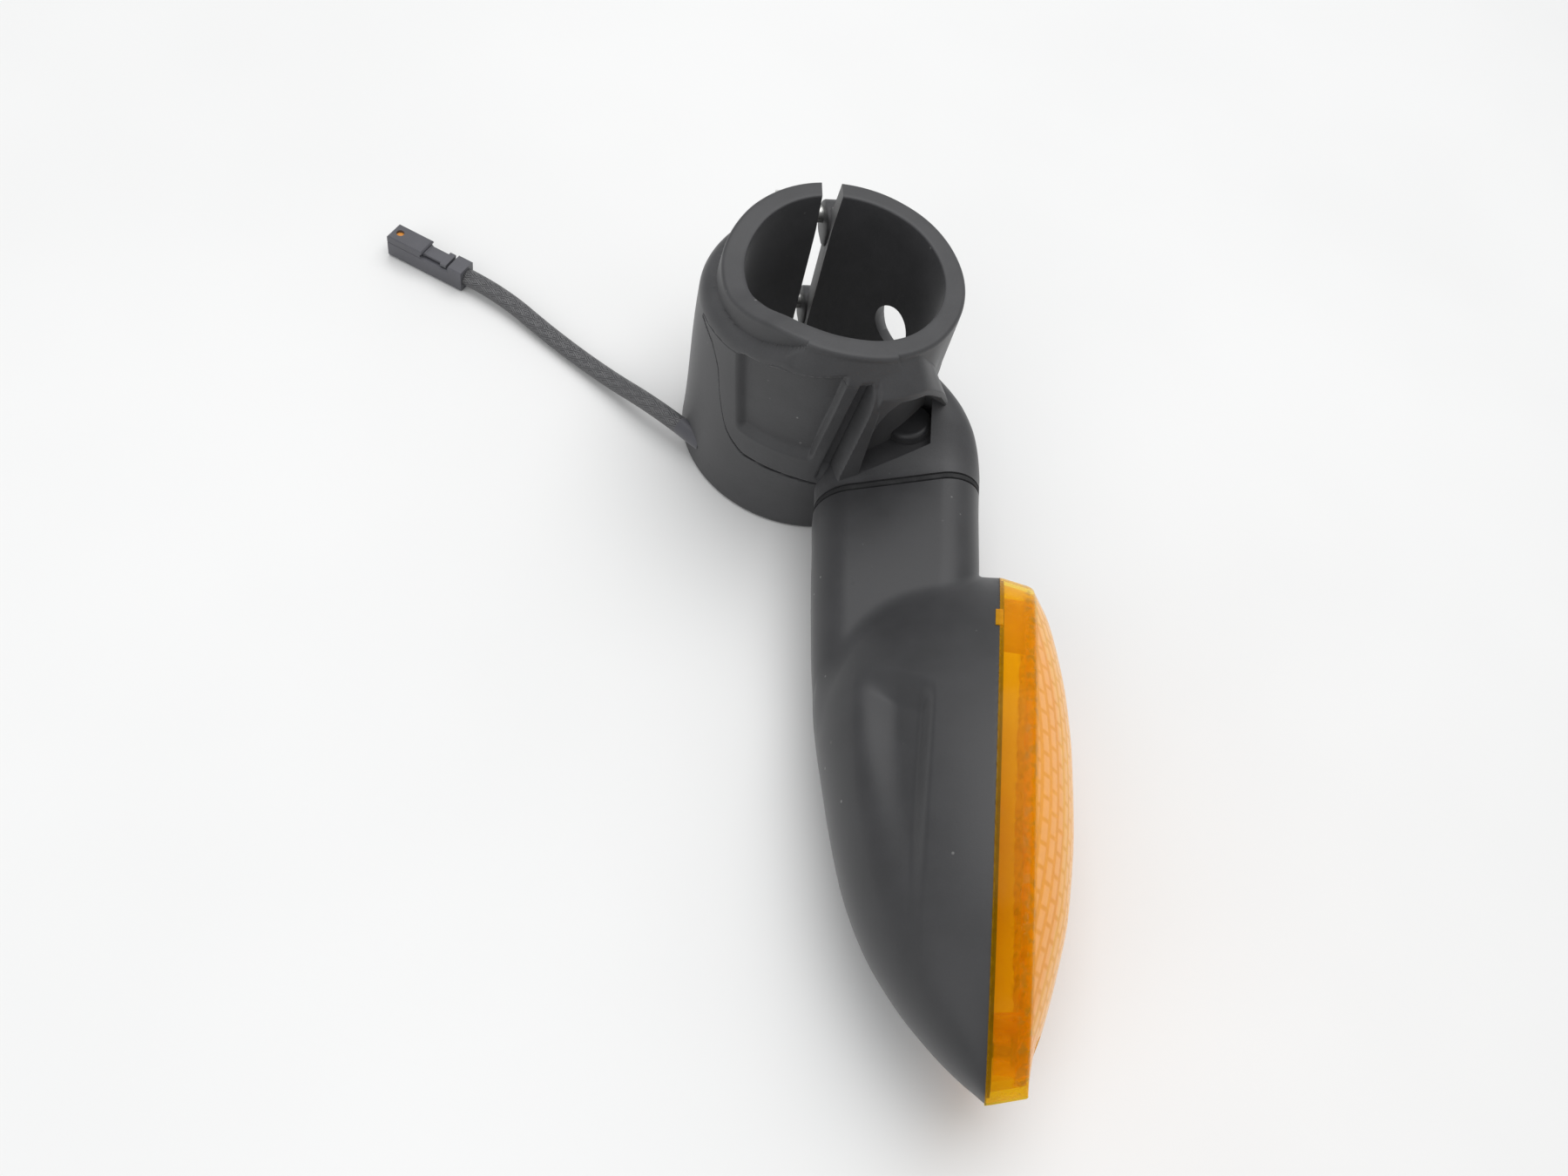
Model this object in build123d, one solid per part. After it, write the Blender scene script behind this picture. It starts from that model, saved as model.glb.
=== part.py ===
"""Turn signal that clamps round a motorcycle fork tube, with its flying lead.

Row frame: +Z is the fork tube's axis, the origin is on that axis at the sleeve's
foot, the lamp reaches out along -Y and its lens faces +X and a little upwards.
Sizes are in millimetres.
"""
from build123d import *
import math
import os

os.makedirs("parts", exist_ok=True)

# ---- driving dimensions ----
TUBE_R = 21.5          # fork tube, 43 mm across
SLEEVE_H = 57.0        # tallest point of the sleeve's wavy rim
NECK_R = 26.2
BODY_R = 29.3
BODY_H = 50.0
SLIT_AZ = 104.0        # direction of the slit, seen from above
SLIT_W = 3.7
EAR_Z = (41.0, 12.5)
EAR_REACH = 31.8       # clamp screw's distance from the tube's axis
COVER_AZ = -112.0      # direction the cable cover faces
COVER_IN = 27.4

RAKE = 15.5            # the lens leans back by this much
LAMP_X = 22.3
LAMP_Z = 16.0
SEAM = 30.0            # arm's end face, on the lamp's own axis
SEAM_SLOPE = 0.2
GAP = 2.0              # rubber spacer between arm and lamp
PIVOT_A = 3.5           # the lamp folds about this line, on the lamp's own axes
PIVOT_T = 21.5
CAVITY_B = 6.0         # half of the arm's hollow, floor to ceiling

RIM_A = 24.0           # plane that the lens closes
RIM_H = 21.0
RIM_MID = 102.5
RIM_HALF = 55.0
BOWL_D = 33.5
BOWL_MID = 95.0
WALL = 2.2
LENS_SIDE = 7.0
LENS_CROWN = 8.0

CABLE_R = 2.15
CABLE_Z = 6.5
CABLE_AZ = 148.1       # direction of the lead where it leaves the sleeve
TUNNEL_OFF = 24.9      # the lead's distance from the tube's axis as it passes

# The lamp's own frame: x is the way the lens faces, y its upper side, z the reach.
rake = math.radians(RAKE)
LAMP = Plane(origin=(LAMP_X, 0, LAMP_Z), x_dir=(math.cos(rake), 0, math.sin(rake)),
             z_dir=(0, -1, 0))
ARM_FACE = Plane(origin=(0, 0, SEAM), z_dir=(SEAM_SLOPE, 0, 1))
LAMP_FACE = Plane(origin=(0, 0, SEAM + GAP), z_dir=(SEAM_SLOPE, 0, 1))


def save(shape, node):
    """Write one node's solids to its STEP file."""
    export_step(shape, f"parts/{node}.step")


def polar(radius, azimuth, z=0.0):
    """A point in the row frame from its distance and direction."""
    a = math.radians(azimuth)
    return Vector(radius * math.cos(a), radius * math.sin(a), z)


def rod(start, direction, length, radius):
    """A round bar from a point along a direction."""
    return Plane(origin=start, z_dir=direction) * Pos(0, 0, length / 2) * Cylinder(radius, length)


def ring(outer, inner, low, high):
    """An upright tube between two heights."""
    middle = Pos(0, 0, (low + high) / 2)
    return middle * (Cylinder(outer, high - low) - Cylinder(inner, high - low + 2))


def sector(outer, inner, low, high, start, sweep):
    """Part of an upright tube, from one direction through a sweep."""
    bottom = Pos(0, 0, low)
    wedge = Cylinder(outer, high - low, arc_size=sweep, align=(None, None, Align.MIN))
    core = Pos(0, 0, -1) * Cylinder(inner, high - low + 2, align=(None, None, Align.MIN))
    return bottom * (Rot(0, 0, start) * wedge - core)


def half_height(t):
    """Half of the lens opening's height at a reach t."""
    u = abs(t - RIM_MID) / RIM_HALF
    return RIM_H * (1 - u * u) ** 0.6


def depth(t):
    """How far the lamp's back stands behind the lens opening at a reach t."""
    if t >= BOWL_MID:
        u = (t - BOWL_MID) / 62.5
        return BOWL_D * (1 - u * u) ** 0.8
    u = (BOWL_MID - t) / 47.0
    return BOWL_D * (1 - u ** 4) ** 0.5


def bowl(inset, deep_inset, stations, front=RIM_A):
    """Solid whose sections are a rounded D, flat towards the lens.

    inset thins it in height and deep_inset in depth; front is the flat side's place.
    """
    faces = []
    for t in stations:
        h = half_height(t) - inset
        d = (depth(t) - deep_inset) * 4 / 3
        top = (RIM_A, h)
        foot = (RIM_A, -h)
        back = Bezier(top, (RIM_A - d, h), (RIM_A - d, -h), foot)
        if front == RIM_A:
            edge = back + Line(foot, top)
        else:
            edge = back + Polyline(foot, (front, -h), (front, h), top)
        faces.append(Pos(0, 0, t) * make_face(edge))
    return loft(faces)


def stalk(sections):
    """Loft of rounded oblongs, each (reach, left, right, middle height, height, corner)."""
    faces = []
    for t, left, right, mid, high, corner in sections:
        face = RectangleRounded(right - left, high, corner)
        faces.append(Pos((left + right) / 2, mid, t) * face)
    return loft(faces)


def tube_along(points, radius):
    """A thin wire through points on one smooth curve."""
    path = Spline(*points)
    return sweep(Plane(origin=path @ 0, z_dir=path % 0) * Circle(radius), path=path)


# ---- fork sleeve ----
def rim_wave():
    """Big cylinder that cuts the sleeve's top to its wavy rim."""
    crest = polar(6.0, COVER_AZ + 97, SLEEVE_H - 83.0)
    return Plane(origin=crest, z_dir=polar(1, COVER_AZ + 7)) * Cylinder(83.0, 160)


def ear_pair(z):
    """Two clamp lugs, one on each side of the slit, with the screw's hole."""
    lug = Box(12.5, 12.1, 10.0, align=(Align.MIN, Align.CENTER, Align.CENTER))
    lug = fillet(lug.edges().filter_by(Axis.Y).group_by(Axis.X)[-1], 4.0)
    hole = Rot(90, 0, 0) * Cylinder(2.15, 20)
    return Rot(0, 0, SLIT_AZ) * Pos(0, 0, z) * (Pos(23.5, 0, 0) * lug - Pos(EAR_REACH, 0, 0) * hole)


def spot_faces(z):
    """Flats cut into the sleeve beside the lugs, where the washer and nut sit."""
    flat = Box(20, 8, 9.6, align=(Align.MIN, Align.MIN, Align.CENTER))
    pair = Pos(27.4, 6.05, z) * flat + Pos(27.4, -14.05, z) * flat
    return Rot(0, 0, SLIT_AZ) * pair


def cover_outline(margin):
    """The cable cover's outline, seen square on, grown by a margin."""
    m = margin
    points = [(-23.5, 43.0 - m), (-15.5, 39.0 - m), (-6.0, 20.5 - m), (-1.5, 18.2 - m),
              (18.3 + m, 17.4 - m), (18.3 + m, 47.5 + m), (-23.5, 47.5 + m)]
    outline = make_face(Polyline(*points, close=True))
    plate = extrude(Plane(origin=(0, 0, 0), x_dir=polar(1, COVER_AZ + 90), z_dir=polar(1, COVER_AZ))
                    * outline, 40)
    return plate


def cover_panel():
    """The cover's sunk field: wide above, narrower below, with soft corners."""
    points = [(-8.2, 44.5), (-5.0, 28.5), (13.0, 27.0), (15.6, 44.5)]
    field = fillet(make_face(Polyline(*points, close=True)).vertices(), 2.5)
    face = Plane(origin=polar(28.4, COVER_AZ) * 0, x_dir=polar(1, COVER_AZ + 90),
                 z_dir=polar(1, COVER_AZ)) * field
    return extrude(face, 40) - Cylinder(28.4, 200)


def strut():
    """Rib that runs down the sleeve beside the arm, with a wedge at its foot."""
    profile = make_face(Polyline((25, 17), (34.0, 17), (31.4, 24), (31.0, 44), (28.6, 52), (25, 52),
                                 close=True))
    rib = extrude(Plane.XZ * profile, 1.8, both=True)
    rib = chamfer(rib.edges().filter_by(Axis.Z).group_by(Axis.X)[-1], 0.6)
    lean = Pos(0, 0, 35) * Rot(-9, 0, 0) * Pos(0, 0, -35)
    return Rot(0, 0, -65) * lean * rib


def pocket():
    """Arched recess over the arm's root, open upwards, in the lamp's frame."""
    arch = Pos(1.5, 17.0) * (Rectangle(15, 16) + Pos(0, 8) * Circle(7.5))
    return Pos(0, 0, 13.0) * extrude(arch, 13.5)


def lead_tunnel():
    """Straight way for the lead through the sleeve's wall."""
    closest = polar(TUNNEL_OFF, CABLE_AZ + 90, CABLE_Z)
    way = polar(1, CABLE_AZ)
    return rod(closest - way * 8, way, 34, 2.45)


def lead_channel():
    """Curved way, open below, from the tunnel round to the arm's root."""
    return sector(27.2, 22.8, -1, 10.4, -122, 62)


def lead_window():
    """Hole that joins the curved way to the inside of the arm."""
    return rod(Vector(5.2, -24.6, 6.0), Vector(0.75, -0.27, 0.60), 14.0, 2.9)


def make_sleeve():
    """The moulded sleeve that grips the fork tube."""
    body = ring(BODY_R, TUBE_R, 0, BODY_H)
    outer = body.edges().filter_by(GeomType.CIRCLE).filter_by(lambda e: e.radius > BODY_R - 0.1)
    body = chamfer(outer.group_by(Axis.Z)[-1], 2.6)
    body = fillet(body.edges().filter_by(GeomType.CIRCLE).filter_by(
        lambda e: e.radius > BODY_R - 0.1).group_by(Axis.Z)[0], 1.2)
    body += ring(NECK_R, TUBE_R, BODY_H - 4, SLEEVE_H + 1) & rim_wave()
    body += strut() - Cylinder(TUBE_R + 3, 200)
    for z in EAR_Z:
        body += ear_pair(z)
        body -= spot_faces(z)
    body -= Cylinder(TUBE_R, 200)
    body -= Rot(0, 0, SLIT_AZ) * Box(60, SLIT_W, 200, align=(Align.MIN, Align.CENTER, Align.CENTER))
    body -= rod(Vector(0, 0, 26.5), polar(1, 42), 50, 5.6)
    body -= cover_outline(0.15) & ring(40, COVER_IN, 0, 60)
    body -= LAMP * pocket() - Cylinder(25.2, 200)
    body -= lead_tunnel()
    body -= lead_channel()
    body -= lead_window()
    return body


def make_cover():
    """Snap-in cover over the lead's way, with its sunk field."""
    plate = cover_outline(0) & ring(BODY_R, COVER_IN + 0.05, 0, 60)
    plate -= cover_panel()
    return plate - strut()


def make_clamp_screws():
    """The clamp's cap screws, their washers and square nuts, all across the slit."""
    screws, washers, nuts = [], [], []
    for z in EAR_Z:
        place = Rot(0, 0, SLIT_AZ) * Pos(EAR_REACH, 0, z) * Rot(90, 0, 0)
        head = Pos(0, 0, 8.4) * Cylinder(3.5, 3.0)
        socket = Pos(0, 0, 9.4) * extrude(RegularPolygon(1.5, 6), 2)
        screws.append(place * (head + Pos(0, 0, -1.6) * Cylinder(2.0, 17.0) - socket))
        washers.append(place * Pos(0, 0, 6.48) * (Cylinder(4.3, 0.84) - Cylinder(2.2, 2)))
        nuts.append(place * Pos(0, 0, -7.65) * (Box(7, 7, 3.2) - Cylinder(2.0, 8)))
    save(Compound(children=screws), "clamp_screw")
    save(Compound(children=washers), "clamp_washer")
    save(Compound(children=nuts), "clamp_nut")


# ---- arm between sleeve and lamp ----
STALK_AT_SEAM = (-18.0, 18.7, 0.0, 21.0, 8.5)


def make_arm():
    """Moulded elbow from the sleeve's wall to the lamp's seam, hollow for the lead."""
    horn = stalk([(-4, -19.5, 4.5, 4.0, 33, 8), (8, -20.5, 13.5, 3.8, 33, 9),
                  (18, -19.5, 17.3, 2.2, 27.5, 9), (SEAM - 1,) + STALK_AT_SEAM,
                  (SEAM + 9,) + STALK_AT_SEAM])
    horn = split(horn, bisect_by=ARM_FACE, keep=Keep.BOTTOM)
    horn -= Pos(0, 0, 25) * Box(27, 2 * CAVITY_B, 22)
    horn -= pocket()
    across = Pos(PIVOT_A, 0, PIVOT_T) * Rot(-90, 0, 0)
    horn += across * Pos(0, 0, 10.2) * Cylinder(4.4, 4.4)
    horn -= across * Cylinder(2.05, 60)
    horn -= across * Pos(0, 0, -18.2) * extrude(RegularPolygon(4.15, 6), 10)
    arm = LAMP * horn
    arm -= Pos(0, 0, 50) * Cylinder(BODY_R, 200)
    arm -= strut()
    arm -= lead_window()
    return arm


def make_arm_fixings():
    """The pivot screw through the arm, its washer, nut and the sleeve it turns on."""
    upright = Pos(PIVOT_A, 0, PIVOT_T) * Rot(-90, 0, 0)
    head = Pos(0, 0, 14.6) * Cylinder(3.6, 2.8)
    head = fillet(head.edges().group_by(Axis.Z)[-1], 0.9)
    recess = Pos(0, 0, 14.6) * extrude(RegularPolygon(1.7, 6), 3)
    shank = Pos(0, 0, 1.0) * Cylinder(2.0, 24.8)
    save(LAMP * upright * (head + shank - recess), "pivot_screw")
    washer = Pos(0, 0, 12.8) * (Cylinder(4.2, 0.8) - Cylinder(2.05, 2))
    save(LAMP * upright * washer, "pivot_washer")
    nut = extrude(RegularPolygon(4.05, 6), 3.0) - Cylinder(2.0, 20)
    save(LAMP * upright * Pos(0, 0, -11.3) * nut, "pivot_nut")
    save(LAMP * upright * (Cylinder(3.0, 2 * CAVITY_B) - Cylinder(2.05, 20)), "pivot_bush")


def make_spacer():
    """Rubber spacer between the arm's end and the lamp, open for the lamp's tongue."""
    band = stalk([(SEAM - 8, -17.8, 18.5, 0, 20.6, 8.3), (SEAM + 9, -17.8, 18.5, 0, 20.6, 8.3)])
    band = split(band, bisect_by=ARM_FACE, keep=Keep.TOP)
    band = split(band, bisect_by=LAMP_FACE, keep=Keep.BOTTOM)
    return LAMP * (band - Pos(0, 0, SEAM) * Box(25.4, 2 * CAVITY_B, 30))


# ---- lamp ----
TIP_TO_TIP = (49.0, 156.6)
SCREW_T = 148.5
BULB_T = 96.5          # centre of the bulb's glass


def stations(low, high, count=9):
    """Places along the reach for a loft, closer together towards its ends."""
    turn = [math.pi * i / (count - 1) for i in range(count)]
    return [(low + high) / 2 - (high - low) / 2 * math.cos(a) for a in turn]


def make_housing():
    """Lamp housing: the stalk, the bowl behind the lens and the tongue into the arm."""
    grip = stalk([(SEAM - 8,) + STALK_AT_SEAM, (50, -16.9, 19.6, 0, 20.6, 8.5),
                  (78, -14.2, 18.5, 0, 17.5, 8.0), (100, -6.5, 14.0, 0, 12.0, 5.0)])
    grip = split(grip, bisect_by=LAMP_FACE, keep=Keep.TOP)
    hollow = stalk([(SEAM - 8, -12, 10, 0, 9.2, 3), (50, -11, 13, 0, 12, 4),
                    (78, -8, 13, 0, 11, 4), (101, -2, 12, 0, 7, 3)])
    shell = grip + bowl(0, 0, stations(*TIP_TO_TIP))
    shell -= bowl(WALL, WALL, stations(51.5, 154), RIM_A + 1)
    shell -= split(hollow, bisect_by=LAMP_FACE, keep=Keep.TOP)
    tongue = Pos(5.2, 0, 27) * Box(11.6, 2 * CAVITY_B - 0.8, 19)
    tongue = tongue + Pos(PIVOT_A, 0, PIVOT_T) * Rot(90, 0, 0) * Cylinder(4.0, 2 * CAVITY_B - 0.8)
    tongue &= Pos(0, 0, 26.8) * Box(60, 60, 18.6)
    tongue -= LAMP.location.inverse() * Cylinder(BODY_R + 0.9, 200)
    tongue -= Pos(PIVOT_A, 0, PIVOT_T) * Rot(90, 0, 0) * Cylinder(3.05, 30)
    shell += tongue
    boss = Pos(0, 0, SCREW_T) * Rot(0, 90, 0) * Pos(0, 0, 18.8) * Cylinder(3.1, 8.6)
    shell += boss
    shell -= Pos(0, 0, SCREW_T) * Rot(0, 90, 0) * Pos(0, 0, 20) * Cylinder(1.25, 9.0)
    return LAMP * shell


def lens_block(inset, crown_inset, stations, back):
    """Solid of the lens: an oblong foot with a domed front, lofted along the reach."""
    faces = []
    for t in stations:
        h = half_height(t) - inset
        side = RIM_A + LENS_SIDE - crown_inset
        u = (t - 101.0) / 58.0
        crown = side + LENS_CROWN * (1 - u * u) * 4 / 3
        dome = Bezier((side, h), (crown, h * 0.62), (crown, -h * 0.62), (side, -h))
        edge = dome + Polyline((side, -h), (back, -h), (back, h), (side, h))
        faces.append(Pos(0, 0, t) * make_face(edge))
    return loft(faces)


def make_lens():
    """Amber lens: deep side wall, domed front, screw well at the tip and a hook tab."""
    outer = lens_block(0, 0, stations(*TIP_TO_TIP), RIM_A + 0.8)
    lens = outer - lens_block(2.0, 2.2, stations(51.5, 154), RIM_A)
    well = Pos(0, 0, SCREW_T) * Rot(0, 90, 0)
    lens += well * Pos(0, 0, 29.4) * Cylinder(4.2, 8.8) & outer
    lens -= well * Pos(0, 0, 38) * Cylinder(3.1, 20)
    lens -= well * Pos(0, 0, 28) * Cylinder(1.75, 20)
    lens += Pos(RIM_A + 2.4, 0, 52.4) * Box(3.2, 5.0, 3.2)
    lens += Pos(RIM_A + 0.2, 0, 53.4) * Box(5.4, 5.0, 1.2)
    return LAMP * lens


def make_lens_gasket():
    """Foam seal between the housing's rim and the lens."""
    seal = lens_block(0.35, 0, stations(*TIP_TO_TIP), RIM_A)
    seal &= Pos(RIM_A + 0.4, 0, RIM_MID) * Box(0.8, 60, 130)
    seal -= bowl(WALL, WALL, stations(51.5, 154), RIM_A + 3)
    return LAMP * seal


def make_lens_screw():
    """Self-tapping screw that holds the lens at its tip."""
    lie = Pos(0, 0, SCREW_T) * Rot(0, 90, 0)
    head = lie * Pos(0, 0, 29.2) * Cylinder(2.8, 2.4)
    shank = lie * Pos(0, 0, 22.75) * Cylinder(1.25, 13.0)
    slot = Pos(30.2, 0, SCREW_T) * (Box(1.6, 0.8, 4.0) + Box(1.6, 4.0, 0.8))
    return LAMP * (head + shank - slot)


def make_reflector():
    """Bright dish round the bulb, open at its root for the holder."""
    dish = bowl(3.4, 7.0, stations(62, 138)) - bowl(4.4, 8.2, stations(63.2, 136.8), RIM_A + 1)
    dish -= Pos(8, 0, 65) * Cylinder(10.2, 34)
    return LAMP * (dish & Pos(11.6, 0, 100) * Box(24, 60, 120))


def make_bulb():
    """Bayonet bulb in its holder: cup, spring contact, cap, pins, glass, filament."""
    axis = LAMP * Pos(8, 0, BULB_T)
    cup = Pos(0, 0, -24.5) * (Cylinder(9.4, 16) - Pos(0, 0, 1.6) * Cylinder(7.9, 16))
    lug = Pos(0, 0, -33.8) * (Box(6, 12, 2.6))
    save(axis * (cup + lug), "bulb_holder")
    disc = Pos(0, 0, -29.6) * Cylinder(7.0, 1.6) + Pos(0, 0, -27.3) * Cylinder(1.6, 3.0)
    save(axis * disc, "bulb_contact")
    cap = Pos(0, 0, -18.0) * Cylinder(7.5, 15.0) + Pos(0, 0, -25.65) * Cylinder(3.0, 0.3)
    save(axis * cap, "bulb_cap")
    globe = Sphere(9.0) + Pos(0, 0, -8.0) * Cylinder(6.6, 5.0)
    hollow = Sphere(8.3) + Pos(0, 0, -8.5) * Cylinder(5.9, 4.0)
    save(axis * (globe - hollow), "bulb_glass")
    posts = [Pos(x, 0, -4.4) * Cylinder(0.35, 12.0) for x in (-2.6, 2.6)]
    coil = Pos(0, 0, 1.1) * Rot(0, 90, 0) * Cylinder(0.45, 5.2)
    bead = Pos(0, 0, -6.9) * Box(6.4, 1.8, 1.6)
    save(axis * (posts[0] + posts[1] + coil + bead), "bulb_filament")


def make_leads():
    """Pairs of thin wires: one in the lamp's stalk, one from the arm to the lead."""
    lamp_pair, arm_pair = [], []
    closest = polar(TUNNEL_OFF, CABLE_AZ + 90, CABLE_Z)
    way = polar(1, CABLE_AZ)
    for side in (-1, 1):
        run = [(8, 2.6 * side, 61.2), (4, 2.2 * side, 50), (-4.5, 1.6 * side, 38),
               (-7.0, 1.2 * side, 30.4)]
        lamp_pair.append(LAMP * tube_along(run, 0.75))
        lift = Vector(0, 0, 0.95 * side)
        run = [closest + way * 12.2 + lift, closest + way * 4 + lift, closest - way * 5 + lift,
               polar(25.0, -88, 6.4) + lift, polar(25.8, -75, 7.2) + lift,
               LAMP.from_local_coords(Vector(-7.4, 1.2 * side, 28.0))]
        arm_pair.append(tube_along(run, 0.7))
    save(Compound(children=lamp_pair), "lamp_leads")
    save(Compound(children=arm_pair), "arm_leads")


# ---- flying lead and connector ----
EXIT = polar(TUNNEL_OFF, CABLE_AZ + 90, CABLE_Z) + polar(1, CABLE_AZ) * 17.6
PLUG_AZ = 160.0
PLUG_REAR = Vector(-88.4, 24.8, 3.2)
LATCH_X = 11.3         # the latch's pivot, from the connector's rear
LATCH_R = 0.5
ROUTE = [tuple(EXIT), tuple(EXIT + polar(1, CABLE_AZ) * 9), (-49.0, 2.6, 2.4),
         (-64.5, 12.2, 2.2), tuple(PLUG_REAR - polar(1, PLUG_AZ) * 10), tuple(PLUG_REAR)]


def cord_path(points):
    """Straight runs joined by tangent arcs; prints the arcs' radii."""
    runs = [Vector(*b) - Vector(*a) for a, b in zip(points, points[1:])]
    radii = []
    for before, after in zip(runs, runs[1:]):
        turn = math.radians(before.get_angle(after))
        radii.append(0.45 * min(before.length, after.length) / math.tan(turn / 2))
    print("lead's bend radii:", [round(r, 1) for r in radii])
    return FilletPolyline(*points, radius=radii)


def make_lead():
    """Braided lead from the grommet to the connector's rear."""
    path = cord_path(ROUTE)
    print("lead's length:", round(path.length, 1))
    lead = sweep(Plane(origin=path @ 0, z_dir=path % 0) * Circle(CABLE_R), path=path)
    print("lead's volume against section x length:",
          round(lead.volume / (math.pi * CABLE_R ** 2 * path.length), 4))
    save(lead, "lead")


def make_grommet():
    """Tapered rubber strain relief where the lead leaves the sleeve."""
    way = polar(1, CABLE_AZ)
    lie = Plane(origin=EXIT, z_dir=way)
    plug = Pos(0, 0, -4.3) * Cylinder(2.4, 3.6)
    taper = Pos(0, 0, -1.9) * Cone(3.5, 2.3, 3.8)
    bore = Pos(0, 0, -4.1) * Cylinder(1.75, 6.2)
    return lie * (plug + taper - bore) - Cylinder(BODY_R, 200) + lie * (plug - bore)


def make_connector():
    """Two-way connector: shell, top block, lock peg, sprung latch, terminals, rear seal."""
    place = Plane(origin=PLUG_REAR, x_dir=polar(1, PLUG_AZ), z_dir=(0, 0, 1))
    shell = Pos(10.7, 0, -0.75) * Box(21.4, 5.4, 4.5) + Pos(1.9, 0, 1.5) * Box(3.8, 5.4, 3.0)
    shell = chamfer(shell.edges().filter_by(Axis.X), 0.3)
    for y in (-1.25, 1.25):
        shell -= Pos(13.8, y, -0.7) * Box(16.0, 1.9, 2.4)
    shell -= Pos(1.1, 0, 0) * Rot(0, 90, 0) * Cylinder(2.1, 2.2)
    shell -= Pos(3.8, 0, -0.7) * Box(4.2, 3.4, 1.6)
    save(place * shell, "connector_shell")

    block = Pos(16.4, 0, 2.45) * Box(10.0, 5.4, 1.9)
    block = chamfer(block.edges().group_by(Axis.Z)[-1], 0.3)
    block -= Pos(19.3, 0, 2.6) * Cylinder(1.0, 4)
    block -= Pos(11.3, 0, 2.1) * Rot(90, 0, 0) * Cylinder(LATCH_R + 0.12, 8)
    save(place * block, "connector_lock")
    save(place * Pos(19.3, 0, 2.1) * Cylinder(0.97, 1.2), "connector_peg")

    lever = Pos(8.2, 0, 2.25) * Box(5.4, 3.4, 0.6) + Pos(5.4, 0, 2.35) * Box(1.6, 4.6, 0.8)
    lever += Pos(LATCH_X, 0, 2.1) * Rot(90, 0, 0) * Cylinder(LATCH_R, 3.4)
    save(place * lever, "connector_latch")

    pins = []
    for y in (-1.25, 1.25):
        blade = Pos(15.5, y, -1.5) * Box(8.0, 1.5, 0.7)
        crimp = Pos(8.8, y, -1.2) * (Box(5.4, 1.5, 1.3) - Pos(0, 0, 0.4) * Box(6, 0.8, 1.0))
        pins.append(place * (blade + crimp))
    save(Compound(children=pins), "connector_terminal")
    save(place * Pos(1.1, 0, 0) * Rot(0, 90, 0) * Cylinder(2.1, 2.2), "connector_seal")


if __name__ == "__main__":
    save(make_sleeve(), "fork_sleeve")
    save(make_cover(), "cable_cover")
    make_clamp_screws()
    save(make_arm(), "arm")
    make_arm_fixings()
    save(make_spacer(), "spacer")
    save(make_housing(), "lamp_housing")
    save(make_lens(), "lens")
    save(make_lens_gasket(), "lens_gasket")
    save(make_lens_screw(), "lens_screw")
    save(make_reflector(), "reflector")
    make_bulb()
    make_leads()
    save(make_grommet(), "lead_grommet")
    make_lead()
    make_connector()
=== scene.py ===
"""Visible surfaces and finishes of a turn signal that clamps round a motorcycle fork tube.

Every shape is worked out in millimetres in the row frame: +Z is the fork tube's axis, the
lamp reaches out along -Y and its lens faces +X and a little upwards. The lamp and its arm
have a frame of their own: a is the way the lens faces, b its upper side, t the reach.
"""
from __future__ import annotations

import logging
import math
from dataclasses import dataclass
from enum import Enum
from typing import Any, Mapping, Sequence, Union

import bmesh
import bpy
import numpy as np
from mathutils import Matrix, Vector

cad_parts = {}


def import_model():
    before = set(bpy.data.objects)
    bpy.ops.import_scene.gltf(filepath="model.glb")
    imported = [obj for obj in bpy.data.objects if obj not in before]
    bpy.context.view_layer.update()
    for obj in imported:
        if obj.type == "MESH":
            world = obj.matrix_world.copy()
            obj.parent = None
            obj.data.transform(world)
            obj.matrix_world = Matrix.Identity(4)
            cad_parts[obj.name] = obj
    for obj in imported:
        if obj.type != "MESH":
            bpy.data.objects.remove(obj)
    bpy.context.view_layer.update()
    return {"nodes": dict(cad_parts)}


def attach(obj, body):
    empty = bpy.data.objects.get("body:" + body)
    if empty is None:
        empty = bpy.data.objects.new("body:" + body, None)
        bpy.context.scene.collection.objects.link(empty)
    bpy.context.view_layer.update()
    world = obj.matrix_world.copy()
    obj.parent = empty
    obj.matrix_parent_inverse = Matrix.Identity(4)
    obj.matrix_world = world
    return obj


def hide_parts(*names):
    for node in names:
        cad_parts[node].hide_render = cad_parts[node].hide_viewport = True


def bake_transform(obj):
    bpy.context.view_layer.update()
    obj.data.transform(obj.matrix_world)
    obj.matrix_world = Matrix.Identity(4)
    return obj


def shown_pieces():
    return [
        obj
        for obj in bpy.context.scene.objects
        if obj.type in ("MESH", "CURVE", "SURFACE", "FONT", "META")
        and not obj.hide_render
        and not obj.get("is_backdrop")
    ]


LOG = logging.getLogger("turn_signal")

Array = np.ndarray
Colour = tuple[float, float, float]
Knots = Sequence[tuple[float, float]]
Body = bpy.types.Object

MM = 0.001  # metres in a millimetre
TO_MM = 1000.0  # millimetres in a metre
WELD = 0.006  # points nearer than this, in mm, are one
CREASE = 38.0  # edges that turn by more degrees than this stay crisp
RAKE = math.radians(15.5)  # how far the lens looks up
LAMP_X = 22.3  # where the lamp's own axis passes the fork tube
LAMP_Z = 16.0
FLUTE_PITCH = 2.3  # height of one row of pillows in the lens
DASH_PITCH = 4.4  # length of one pillow
SEAM = 30.0  # reach of the seam between arm and spacer
SPACER = 2.0  # thickness of the rubber spacer
SLOPE = 0.2  # how far the seam's plane leans, per mm across
STALK_SEAM = (-18.0, 18.7, 0.0, 10.5, 8.5)  # left, right, middle, half height, corner
OUTSIDE = 60.0  # a distance that counts as outside everything


class Rider(str, Enum):
    """The bodies that new pieces move with."""

    MOUNT = "mount"
    LAMP = "lamp"


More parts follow.
